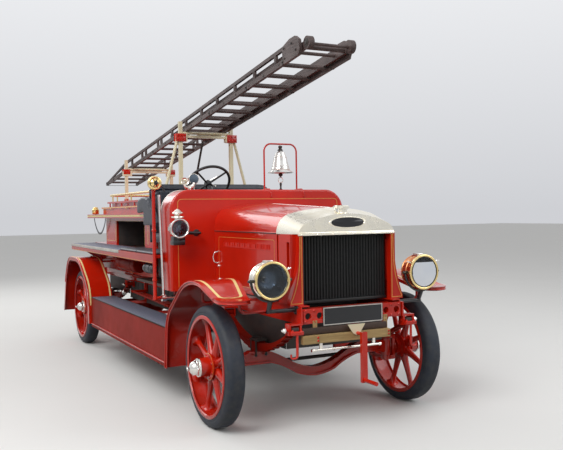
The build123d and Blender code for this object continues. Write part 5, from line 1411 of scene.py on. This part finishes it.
# Gantries
def gantryPieces():
    plates = Shape()
    for side in (-1, 1):
        y0, y1 = sorted((side * 0.236, side * 0.35))
        plates.box((0.0865, y0, 2.388), (0.0935, y1, 2.472), 0.002)
        plates.box((0.1465, y0, 2.388), (0.1535, y1, 2.472), 0.002)
        for dy in (0.02, 0.057, 0.094):
            for z in (2.408, 2.452):
                nut(plates, (0.1535, y0 + dy, z), (1, 0, 0), 0.008, 0.006)
        y0, y1 = sorted((side * 0.262, side * 0.352))
        plates.box((-2.0135, y0, 2.15), (-2.0065, y1, 2.212), 0.002)
        plates.box((-1.9535, y0, 2.15), (-1.9465, y1, 2.212), 0.002)
        for dy in (0.018, 0.072):
            nut(plates, (-1.9465, y0 + dy, 2.181), (1, 0, 0), 0.008, 0.006)
    add(plates, "gantryPlates", "red")
    feet = Shape()
    for side in (-1, 1):
        for x, y in ((0.12, 0.29), (-1.98, 0.307)):
            feet.turned([(0, 0), (0, 42), (6, 44), (12, 40), (16, 32), (34, 31), (36, 28), (36, 0)],
                        (x, side * y, 1.7903), (0, 0, 1), 4)
            for dx in (-0.0252, 0.0252):
                nut(feet, (x + dx, side * y, 1.802), (0, 0, 1), 0.005, 0.004)
    add(feet, "gantryFeet", "red")
    # the brace's dark iron colour is partly painted shade of a stay on the shadow side
    brace = Shape().tube([(0.1, -0.03, 2.395), (-0.25, -0.03, 1.7905)], 0.012, 10)
    brace.box((-0.275, -0.05, 1.7902), (-0.225, 0.05, 1.797), 0.002)
    add(brace, "gantryBrace", "iron")


# Front guards in thin sheet, with a rolled edge
def guardPlan():  # the guard seen from above, right side, as a fine outline
    axle, outer, inner = place["frontAxle"], guards["frontOuter"], guards["frontInner"]
    points = [(axle - 0.9, -outer), (axle + 0.575, -outer), (axle + 0.53, -outer + 0.22),
              (axle - 0.06, -inner), (axle - 0.9, -inner)]
    return filleted(points + points[:1], (0.15, 0.09, 0.4, 0.001), 12)


def planEdges(outline, x):  # the lowest and highest y of the outline at x
    found = []
    for a, b in zip(outline, outline[1:]):
        if (a.x - x) * (b.x - x) <= 0 and abs(a.x - b.x) > 1e-9:
            found.append(a.y + (b.y - a.y) * (x - a.x) / (b.x - a.x))
    return (min(found), max(found)) if found else None


def frontGuardSheet():
    axle = place["frontAxle"]
    outline = guardPlan()
    path = [point for point in guardPath("front", axle) if point.y > 0.32 and point.x < axle + 0.5]
    dense = cutPath([Vector((axle - 0.785, 0.3285))] + path + [Vector((axle + 0.568, 1.006))], axle - 0.9,
                    axle + 0.568)
    tip = max(point.x for point in outline) - 0.0006
    dense = [point for point in dense if point.x < tip - 0.004]
    dense += [Vector((tip - 0.0035, 1.006)), Vector((tip - 0.001, 1.006)), Vector((tip, 1.006))]
    columns = 16
    skin = 0.0035
    top, below, rims = [], [], []
    for index, point in enumerate(dense):
        before, after = dense[max(index - 1, 0)], dense[min(index + 1, len(dense) - 1)]
        along = (after - before).normalized()
        normal = Vector((-along.y, 0, along.x))
        low, high = planEdges(outline, point.x)
        rowTop, rowBelow = [], []
        for k in range(columns + 1):
            share = 0.5 - 0.5 * math.cos(math.pi * k / columns)
            y = low + (high - low) * share
            rowTop.append(Vector((point.x, y, point.y)))
            rowBelow.append(rowTop[-1] - normal * skin)
        top.append(rowTop)
        below.append(rowBelow)
        rims.append((rowTop[0], rowTop[-1], normal))
    sheet = Shape()
    sheet.sections([a + b[::-1] for a, b in zip(top, below)])
    edge = [(low, normal, Vector((0, -1, 0))) for low, high, normal in rims]
    back = [(high, normal, Vector((0, 1, 0))) for low, high, normal in rims][::-1]
    loop = edge + back
    rings, beads = [], []
    for index, (point, normal, side) in enumerate(loop):
        before, after = loop[max(index - 1, 0)][0], loop[min(index + 1, len(loop) - 1)][0]
        along = (after - before).normalized() if (after - before).length > 1e-6 else Vector((0, 1, 0))
        out = along.cross(normal).normalized()
        if out.dot(side) < 0 and abs(out.dot(side)) > 0.1:
            out = -out
        drop = 0.024
        root = point - out * 0.004
        rings.append([root, root - normal * drop, root - normal * drop - out * 0.003,
                      root - out * 0.003 - normal * skin])
        beads.append(root - normal * drop - out * 0.003)
    sheet.sections(rings)
    kept = [beads[0]]
    for bead in beads[1:]:
        if (bead - kept[-1]).length > 0.006:
            kept.append(bead)
    sheet.tube(kept, 0.0065, 10)
    for x in (axle - 0.43, axle + 0.33):  # stays from the side member
        height = min((point.y for point in dense if abs(point.x - x) < 0.02), default=1.0) - skin - 0.002
        sheet.tube(rounded([(x, -memberFace, 0.89), (x, -0.79, 0.89), (x, -0.79, height)], 0.05, 8), 0.012,
                   12)
    add(sheet.mirrored(), "frontGuardSheet", "red", replaces=["front_guards"], angle=50)


sirenPiece()
mirrorPiece()
hornPiece()
bellDetails()
towHooks()
brakeLever()
gantryPieces()
frontGuardSheet()
print("fittings done")


# Ladder irons, in the ladder's own frame: along it, across it and square off it
ladder = {"slope": math.radians(7.25), "heel": (-3.35, 2.053), "half": 0.236, "pitch": 0.295,
          "flyHalf": 0.198}


def ladderMatrix():
    c, s = math.cos(ladder["slope"]), math.sin(ladder["slope"])
    return Matrix(((c, 0, -s, ladder["heel"][0]), (0, 1, 0, 0), (s, 0, c, ladder["heel"][1]), (0, 0, 0, 1)))


def ladderPieces():
    irons, half = Shape(), ladder["half"]
    for x in (0.012, 0.42, 1.15, 2.325, 3.275, 4.2, 5.1, 5.82):  # straps round the lower strings
        y0 = half - 0.03
        irons.box((x, y0, -0.002), (x + 0.026, half + 0.0022, 0.044), 0.001)
        nut(irons, (x + 0.013, half + 0.002, 0.021), (0, 1, 0), 0.007, 0.005)
    for k in range(20):  # riveted rung ends
        x = 0.16 + k * ladder["pitch"]
        irons.turned([(0, 0), (0, 12.5), (1.5, 11.5), (3, 6), (3.5, 0)], (x, half, 0.021), (0, 1, 0), 12)
    for x in (0.9, 1.38, 1.85, 2.01, 2.51, 2.64, 3.04, 3.51, 3.98, 4.41, 4.85, 5.28, 5.7):
        irons.box((x - 0.005, half - 0.0045, 0.04), (x + 0.005, half - 0.0018, 0.126), 0.0008)
    for x, z in ((5.87, 0.04), (6.06, 0.05), (5.87, 0.12), (6.0, 0.12)):
        nut(irons, (x, half - 0.001, z), (0, 1, 0), 0.01, 0.005)
    irons.mirrored()
    irons.box((0, -half, -0.0025), (0.01, half, 0.002), 0.001)
    add(irons.moved(ladderMatrix()), "ladderIrons", "iron", body="ladder_main")
    tie, base = Shape(), 0.021
    for x in (1.34, 3.11, 4.88):  # wire ties under the rungs
        tie.tube([(x, -half + 0.028, base), (x, half - 0.028, base)], 0.004, 8)
    add(tie.moved(ladderMatrix()), "ladderTies", "iron", body="ladder_main")
    fly, low = Shape(), 0.0356
    for k in range(11):
        x = 3.01 + k * ladder["pitch"]
        if x < 6.0:
            fly.turned([(0, 0), (0, 11.5), (1.2, 10), (2.2, 0)], (x, ladder["flyHalf"], low + 0.03),
                       (0, 1, 0), 12)
    fly.mirrored()
    for side in (-1, 1):
        hub = side * (ladder["flyHalf"] + 0.008)
        fly.turned([(0, 30), (3, 30), (3, 16), (8, 14), (10, 0)], (6.186, hub, low + 0.03), (0, side, 0), 24)
    for y in (-0.06, 0.06):  # pawl hooks over a rung
        fly.prism([(3.085, low + 0.01), (3.14, low + 0.01), (3.15, low + 0.05), (3.11, low + 0.058),
                   (3.085, low + 0.04)], (0, y - 0.005, 0), (1, 0, 0), (0, 0, 1), -0.01)
    add(fly.moved(ladderMatrix()), "flyIrons", "iron", body="ladder_fly")


# Pump and rear panel
def pumpPieces():
    x, z = -2.537, 0.9
    deliveryX, valveY, gaugeY, gaugeZ = -2.642, 0.19, 0.38, 1.168
    mouth = Vector((-2.866, 0, z))
    bolts = Shape()
    for turn in circle(14):
        nut(bolts, (x - 0.181, math.cos(turn) * 0.172, z + math.sin(turn) * 0.172),
            (-0.75, math.cos(turn) * 0.6, math.sin(turn) * 0.6), 0.011, 0.009)
    for k in range(8):
        turn = 2 * math.pi * (k + 0.5) / 8
        nut(bolts, (x - 0.2102, math.cos(turn) * 0.108, z + math.sin(turn) * 0.108), (-1, 0, 0), 0.01, 0.008)
    add(bolts, "pumpBolts", "nickel")
    ribs = Shape()
    for turn in circle(10):
        out = facing(turn)
        ends = []
        for at, crest in ((x - 0.058, 0.197), (x - 0.178, 0.196)):
            foot, across = Vector((at, 0, z)), out.cross(Vector((1, 0, 0)))
            ends.append([foot + out * r + across * w
                         for r, w in ((0.186, -0.006), (0.186, 0.006), (crest, 0.004), (crest, -0.004))])
        ribs.sections(ends)
    add(ribs, "pumpRibs", "iron")
    couplings = Shape()
    for turn in (0.5 + a for a in circle(3)):  # lugs of the suction coupling
        out = facing(turn)
        couplings.tube([mouth + out * 0.084, mouth + out * 0.112], 0.011, 10, taper=0.009)
    couplings.turned([(0, 88.5), (2, 94), (18, 94), (20, 88.5)], (-2.856, 0, z), (-1, 0, 0), 40, closed=True)
    for side in (-1, 1):
        outlet = Vector((deliveryX, side * 0.309, 1.05))
        for turn in (0.3 + a for a in circle(3)):
            out = Vector((math.cos(turn), 0, math.sin(turn)))
            couplings.tube([outlet + out * 0.058, outlet + out * 0.078], 0.008, 8)
        couplings.turned([(0, 62.2), (2, 66), (16, 66), (18, 62.2)], (deliveryX, side * 0.301, 1.05),
                         (0, side, 0), 36, closed=True)
        couplings.turned([(0, 0), (0, 24), (10, 26), (40, 20), (44, 12), (52, 12), (54, 18), (62, 18),
                          (64, 8), (110, 8), (112, 0)], (deliveryX, side * valveY, 1.094), (0, 0, 1), 20)
    add(couplings, "pumpCouplings", "brass")
    wheels = Shape()
    for side in (-1, 1):
        centre = Vector((deliveryX, side * valveY, 1.212))
        ring = [centre + Vector((math.cos(a), math.sin(a), 0)) * 0.052 for a in circle(32)]
        wheels.tube(ring, 0.0065, 10, closed=True)
        for turn in circle(5):
            wheels.tube([centre, centre + Vector((math.cos(turn), math.sin(turn), 0)) * 0.052], 0.0045, 8)
        wheels.turned([(-12, 0), (-12, 13), (8, 13), (12, 6), (12, 0)], centre, (0, 0, 1), 16)
    add(wheels, "valveWheels", "red")
    gauges, faces, marks = Shape(), Shape(), Shape()
    for y in (-gaugeY, gaugeY):
        gauges.turned([(0, 0), (0, 48), (10, 48), (13, 44), (24, 42), (27, 45), (30, 42), (28, 37),
                       (20, 35), (18, 0)], (x - 0.0003, y, gaugeZ), (-1, 0, 0), 40)
        gauges.tube(rounded([(x - 0.014, y, 1.124), (x - 0.014, y, 1.03), (x - 0.014, y * 0.6, 1.0),
                             (x - 0.06, y * 0.45, 0.99)], 0.03, 6), 0.005, 10)
        centre = Vector((x - 0.0186, y, gaugeZ))
        faces.turned([(0, 0), (0, 35.5), (1, 35.5), (1.2, 0)], centre, (-1, 0, 0), 40)
        for k in range(11):
            turn = math.radians(-45 + 27 * k)
            out = facing(turn)
            marks.stripe([centre + Vector((-0.0015, 0, 0)) + out * 0.026,
                          centre + Vector((-0.0015, 0, 0)) + out * 0.033], (-1, 0, 0), 0.002, 0.0003)
        marks.stripe([centre + Vector((-0.0022, 0.004, -0.004)),
                      centre + Vector((-0.0022, -0.018, 0.018))], (-1, 0, 0), 0.0026, 0.0003)
        marks.turned([(0, 0), (0, 4), (1.8, 3), (1.8, 0)], centre + Vector((-0.0014, 0, 0)), (-1, 0, 0), 14)
    add(gauges, "pumpGauges", "brass")
    add(faces, "gaugeFaces", "dial")
    add(marks, "gaugeMarks", "iron")
    panel = Shape()
    for y0, y1 in ((-0.57, -0.445), (0.445, 0.57)):
        loop = [(x - 0.0006, y0, 0.975), (x - 0.0006, y0, 1.2), (x - 0.0006, y1, 1.2),
                (x - 0.0006, y1, 0.975)]
        panel.stripe(rounded(loop + loop[:1], 0.02, 4)[:-1], (-1, 0, 0), 0.005, 0.0005, closed=True)
    add(panel, "rearPanelLines", "paleGold")


# Cab, engine and running gear
def cabPieces():
    x = 1.2445
    dials, faces = Shape(), Shape()
    for y, z, r in ((-0.12, 1.6, 0.046), (0.01, 1.6, 0.046), (0.13, 1.6, 0.034)):
        dials.lathe([(0, 0), (0, r + 0.006), (0.006, r + 0.008), (0.012, r + 0.006), (0.014, r),
                     (0.01, r - 0.006), (0.008, 0)], (x, y, z), (-1, 0, 0), 36)
        faces.lathe([(0, 0), (0, r - 0.0065), (0.001, r - 0.0065), (0.0012, 0)], (x - 0.0085, y, z),
                    (-1, 0, 0), 32)
    dials.turned([(0, 0), (0, 16), (10, 14), (16, 8), (26, 10), (32, 0)], (x, -0.56, 1.56), (-1, 0, 0), 20)
    add(dials, "dashDials", "brass")
    add(faces, "dashFaces", "dial")
    board = Shape().box((x - 0.004, -0.78, 1.5), (x + 0.0003, 0.78, 1.7), 0.003)
    add(board, "dashBoard", "plank")
    pedals = Shape()
    for y, width in ((-0.48, 0.045), (-0.35, 0.03), (-0.22, 0.045)):
        pedals.tube([(1.235, y, 0.99), (1.15, y, 1.1)], 0.009, 10)
        pedals.box((1.12, y - width, 1.085), (1.165, y + width, 1.125), 0.006)
        for k in range(4):
            pedals.box((1.118, y - width + 0.006, 1.088 + k * 0.01),
                       (1.121, y + width - 0.006, 1.092 + k * 0.01), 0.0008)
    pedals.turned([(0, 0), (0, 34), (10, 36), (30, 22), (50, 12), (300, 10), (460, 9), (462, 18),
                   (480, 24), (500, 18), (504, 0)], (1.06, -0.65, 0.9615), (-0.1, 0, 0.995), 20)
    add(pedals, "cabPedals", "iron")
    boss = Shape()  # nut and two hand levers on the steering wheel
    hub, axis = Vector((1.06, -0.35, 1.899)), unit((-0.743, 0, 0.669))
    boss.turned([(12, 0), (12, 30), (22, 30), (28, 20), (40, 18), (48, 10), (50, 0)], hub, axis, 24)
    across = axis.cross(Vector((0, 1, 0)))
    for sweep, length in ((0.5, 0.12), (-0.6, 0.11)):
        way = Vector((0, math.cos(sweep), 0)) + across * math.sin(sweep)
        tip = hub + axis * 0.036 + way * length
        boss.tube([hub + axis * 0.032, tip], 0.0042, 8)
        boss.turned([(-6, 0), (-6, 7), (0, 9), (6, 7), (6, 0)], tip, axis, 14)
    add(boss, "wheelBoss", "nickel", body="steering_wheel")


def enginePieces():
    cylinders, wall, fanHub = [1.85 + 0.21 * k for k in range(4)], 0.2103, (2.815, 0, 1.2)
    pots = Shape()
    for x in cylinders:
        pots.turned([(0, 0), (0, 98), (30, 98), (36, 90), (50, 90), (64, 78), (70, 50), (72, 0)],
                    (x, -0.03, 1.3502), (0, 0, 1), 28)
    for k in range(24):
        x = 1.7 + 0.09 * (k % 12)
        nut(pots, (x, (-wall, wall)[k // 12], 1.0), (0, (-1, 1)[k // 12], 0), 0.009, 0.007)
    pots.box((1.7, -0.3, 0.74), (2.7, -wall, 0.9), 0.012)
    add(pots, "cylinderPots", "iron")
    pipes = Shape()
    for x in cylinders:
        pipes.tube(rounded([(x, wall, 1.24), (x, 0.262, 1.24), (x - 0.04, 0.275, 1.215)], 0.02, 5), 0.02, 14)
        pipes.turned([(0, 0), (0, 14), (12, 14), (16, 8), (30, 6), (32, 0)], (x, -0.03, 1.4222), (0, 0, 1),
                     12)
    pipes.tube([(1.79, 0.275, 1.21), (2.5, 0.275, 1.21)], 0.026, 18)
    pipes.tube(rounded([(1.86, -wall, 1.18), (1.86, -0.29, 1.18), (2.48, -0.29, 1.18),
                        (2.48, -wall, 1.18)], 0.04, 6), 0.019, 14)
    pipes.turned([(0, 0), (0, 40), (70, 40), (80, 30), (100, 30), (104, 0)], (2.17, -0.29, 1.06),
                 (0, 0, 1), 24)
    add(pipes, "enginePipes", "copper")
    fan = Shape()
    for k in range(4):
        turn = math.pi / 2 * k + 0.4
        out, side = facing(turn), facing(turn + math.pi / 2)
        centre = Vector(fanHub)
        root = ((-0.016, -0.004), (0.016, 0.004), (0.016, 0.007), (-0.016, -0.001))
        tip = ((-0.04, -0.014), (0.04, 0.014), (0.04, 0.017), (-0.04, -0.011))
        fan.sections([[centre + out * r + side * w + Vector((dx, 0, 0)) for w, dx in blade]
                      for r, blade in ((0.02, root), (0.15, tip))])
    fan.turned([(-35, 0), (-35, 30), (12, 32), (18, 0)], fanHub, (1, 0, 0), 24)
    add(fan, "coolingFan", "black")


def springBolts():
    bolts = Shape()
    springY = -0.49
    for x, low, high in ((2.45, 0.52, 0.64), (-1.967, 0.5, 0.66)):
        for dx in (-0.045, 0.045):
            y0, y1 = springY - 0.043, springY + 0.043
            bolts.tube(rounded([(x + dx, y0, low), (x + dx, y0, high), (x + dx, y1, high),
                                (x + dx, y1, low)], 0.02, 5), 0.0075, 10)
            nut(bolts, (x + dx, y0, low), (0, 0, -1), 0.013, 0.01)
            nut(bolts, (x + dx, y1, low), (0, 0, -1), 0.013, 0.01)
        bolts.box((x - 0.07, -0.537, high - 0.016), (x + 0.07, -0.443, high - 0.004), 0.003)
    add(bolts.mirrored(), "springBolts", "iron")


def underFrameShadeAndTank():  # dark iron sheets below the side members: painted shade that fills the gap behind the boards
    shadeSheets = Shape()
    outer, inner, tankY, tankZ = 0.429, 0.4255, -0.686, 1.072
    lengths = ((-1.44, 0.28), (0.3, 1.56))
    for x0, x1 in lengths:
        shadeSheets.box((x0, -outer, 0.6), (x1, -inner, 0.86), 0.001)
        shadeSheets.tube([(x0, -0.4275, 0.6), (x1, -0.4275, 0.6)], 0.006, 8)
        for k in range(int((x1 - x0) / 0.16)):
            nut(shadeSheets, (x0 + 0.05 + k * 0.16, -outer, 0.845), (0, -1, 0), 0.008, 0.006)
            shadeSheets.tube([(x0 + 0.05 + k * 0.16, -0.43, 0.64), (x0 + 0.05 + k * 0.16, -0.43, 0.8)], 0.005, 6)
    for x0, x1 in lengths:
        shadeSheets.box((x0, -inner, 0.598), (x1, 0.0, 0.601), 0.001)
    shadeSheets.box((-2.45, -outer, 0.64), (-1.46, -inner, 0.86), 0.001)
    shadeSheets.box((1.58, -outer, 0.6), (2.8, -inner, 0.86), 0.001)
    shadeSheets.mirrored()
    shadeSheets.box((2.8, -0.424, 0.6), (2.806, 0.424, 0.9), 0.001)
    add(shadeSheets, "underFramePaintedShade", "iron")
    tank = Shape()  # fuel tank slung outside the right side member, in the painted-shade copy of the red
    tank.turned([(0, 0), (0, 64), (6, 76), (14, 80), (22, 78), (30, 80), (730, 80), (738, 78), (746, 80),
                 (754, 76), (760, 64), (760, 0)], (-0.86, tankY, tankZ), (1, 0, 0), 36)
    for x in (-0.7, -0.28):
        tank.turned([(0, 79), (0, 83), (30, 83), (30, 79)], (x, tankY, tankZ), (1, 0, 0), 36, closed=True)
        tank.box((x, -0.69, 1.15), (x + 0.03, -0.682, 1.2235), 0.001)
    add(tank, "slungTank", "paintedShadeRed")


def lockerPaintedShadeLining():  # dark iron boards inside the locker, painted shade in its recess, and a box under each side lamp
    lining = Shape()
    rear, front, floor = -1.4096, -0.2004, 1.2382
    lining.box((rear, -0.012, floor), (front, 0.012, 1.544), 0.001)
    lining.box((rear, -0.57, 1.538), (front, 0.57, 1.5446), 0.001)
    for x in (rear, -0.2064):
        lining.box((x, -0.57, floor), (x + 0.006, 0.57, 1.538), 0.001)
    for k in range(9):
        lining.box((-1.39 + k * 0.134, -0.0165, 1.25), (-1.384 + k * 0.134, -0.012, 1.53), 0.001)
    add(lining, "lockerPaintedShadeLining", "iron")
    boxes = Shape().box((1.565, -0.905, 1.352), (1.665, -0.8, 1.392), 0.006)
    boxes.box((1.58, -0.89, 1.392), (1.65, -0.815, 1.4), 0.003)
    add(boxes.mirrored(), "sideLampBoxes", "black")


def bonnetSeams():  # dark joints between the bonnet's roof halves and its sides
    y, z = 0.4712, 1.4632
    for side, hand in hands:
        line = Shape().tube([(1.512, side * y, z), (2.738, side * y, z)], 0.0032, 8)
        add(line, f"bonnetSeam_{hand}", "iron", body=f"bonnet_side_{hand}")


bonnetSeams()
lockerPaintedShadeLining()
ladderPieces()
pumpPieces()
cabPieces()
enginePieces()
springBolts()
underFrameShadeAndTank()
print("ladder, pump, cab and running gear done")

# Studio and camera
studio = {"floorColour": srgb(232, 231, 228), "bounceColour": srgb(62, 60, 48), "skyStrength": 0.55,
          "floorSize": 60, "horizon": (0.62, 0.63, 0.66, 1), "zenith": (0.97, 0.98, 1.0, 1),
          "zenithHeight": 0.45, "lampSize": 6.0}


def studioFloor():
    size = studio["floorSize"]
    shape = Shape().box((-size, -size, -0.02), (size, size, 0), 0)
    mesh = bpy.data.meshes.new("studioFloor")
    mesh.from_pydata(shape.vertices, [], shape.faces)
    floor = bpy.data.objects.new("studioFloor", mesh)
    bpy.context.scene.collection.objects.link(floor)
    shader = Shader("studioPaper", Roughness=0.9, Specular_IOR_Level=0.1)
    paper = shader.mix(shader.noise(0.8, 3) * 0.15, studio["floorColour"], srgb(206, 204, 200))
    seen = shader.ray("Camera") + shader.ray("Transmission") + shader.ray("Glossy")
    shader.finish(Base_Color=shader.mix(seen, studio["bounceColour"], paper))
    floor.data.materials.append(shader.material)


def studioSky():
    world = bpy.data.worlds.new("studioSky")
    bpy.context.scene.world = world
    world.use_nodes = True
    sky = Graph(world.node_tree)
    back = world.node_tree.nodes["Background"]
    seen = sky.add("Math", {"operation": "MAXIMUM"}, {0: sky.ray("Camera"), 1: sky.ray("Transmission")})
    seen = sky.add("Math", {"operation": "MAXIMUM"}, {0: seen, 1: sky.ray("Glossy")})
    strength = sky.add("MapRange", {}, {"Value": seen, "To Min": studio["skyStrength"], "To Max": 1.0})
    height = sky.add("SeparateXYZ", {}, {0: sky.add("TexCoord", {}, {}, "Generated")}, "Z")
    stops = ((0, studio["horizon"]), (studio["zenithHeight"], studio["zenith"]))
    sky.feed(back.inputs["Strength"], strength)
    sky.feed(back.inputs["Color"], sky.add("ValToRGB", {"stops": stops}, {"Fac": height}))


def softLamp(name, location, target, power, colour=(1, 1, 1)):
    light = bpy.data.lights.new(name, "AREA")
    light.shape, light.size, light.energy, light.color = "SQUARE", studio["lampSize"], power, colour
    lamp = bpy.data.objects.new(name, light)
    lamp.location = location
    lamp.rotation_euler = (Vector(target) - Vector(location)).to_track_quat("-Z", "Y").to_euler()
    bpy.context.scene.collection.objects.link(lamp)


view = {"location": (7.8407, -2.9866, 1.618), "yaw": 2.6754, "pitch": -0.0164, "roll": -0.0149,
        "focalPixels": 761.43, "imageWidth": 563, "sensor": 36.0}


def camera():
    forward = Vector((math.cos(view["yaw"]) * math.cos(view["pitch"]),
                      math.sin(view["yaw"]) * math.cos(view["pitch"]), math.sin(view["pitch"])))
    right = Vector((math.sin(view["yaw"]), -math.cos(view["yaw"]), 0))
    up = right.cross(forward)
    turn = view["roll"]
    right, up = right * math.cos(turn) + up * math.sin(turn), up * math.cos(turn) - right * math.sin(turn)
    data = bpy.data.cameras.new("camera")
    data.sensor_fit, data.sensor_width = "HORIZONTAL", view["sensor"]
    data.lens = view["focalPixels"] * view["sensor"] / view["imageWidth"]
    data.clip_end = 200
    eye = bpy.data.objects.new("camera", data)
    facingOut = Matrix((right, up, -forward)).transposed().to_4x4()
    eye.matrix_world = Matrix.Translation(view["location"]) @ facingOut
    bpy.context.scene.collection.objects.link(eye)
    bpy.context.scene.camera = eye


studioFloor()
studioSky()
softLamp("keyLamp", (6.5, -7.5, 8.5), (0.5, 0, 1.0), 760)
softLamp("fillLamp", (7.0, 6.5, 6.0), (0.5, 0, 1.0), 240, (0.95, 0.97, 1.0))
softLamp("backLamp", (-8.0, -3.0, 7.0), (0, 0, 1.2), 260)
camera()
bpy.context.scene.view_settings.view_transform = "Standard"
print("studio lit")
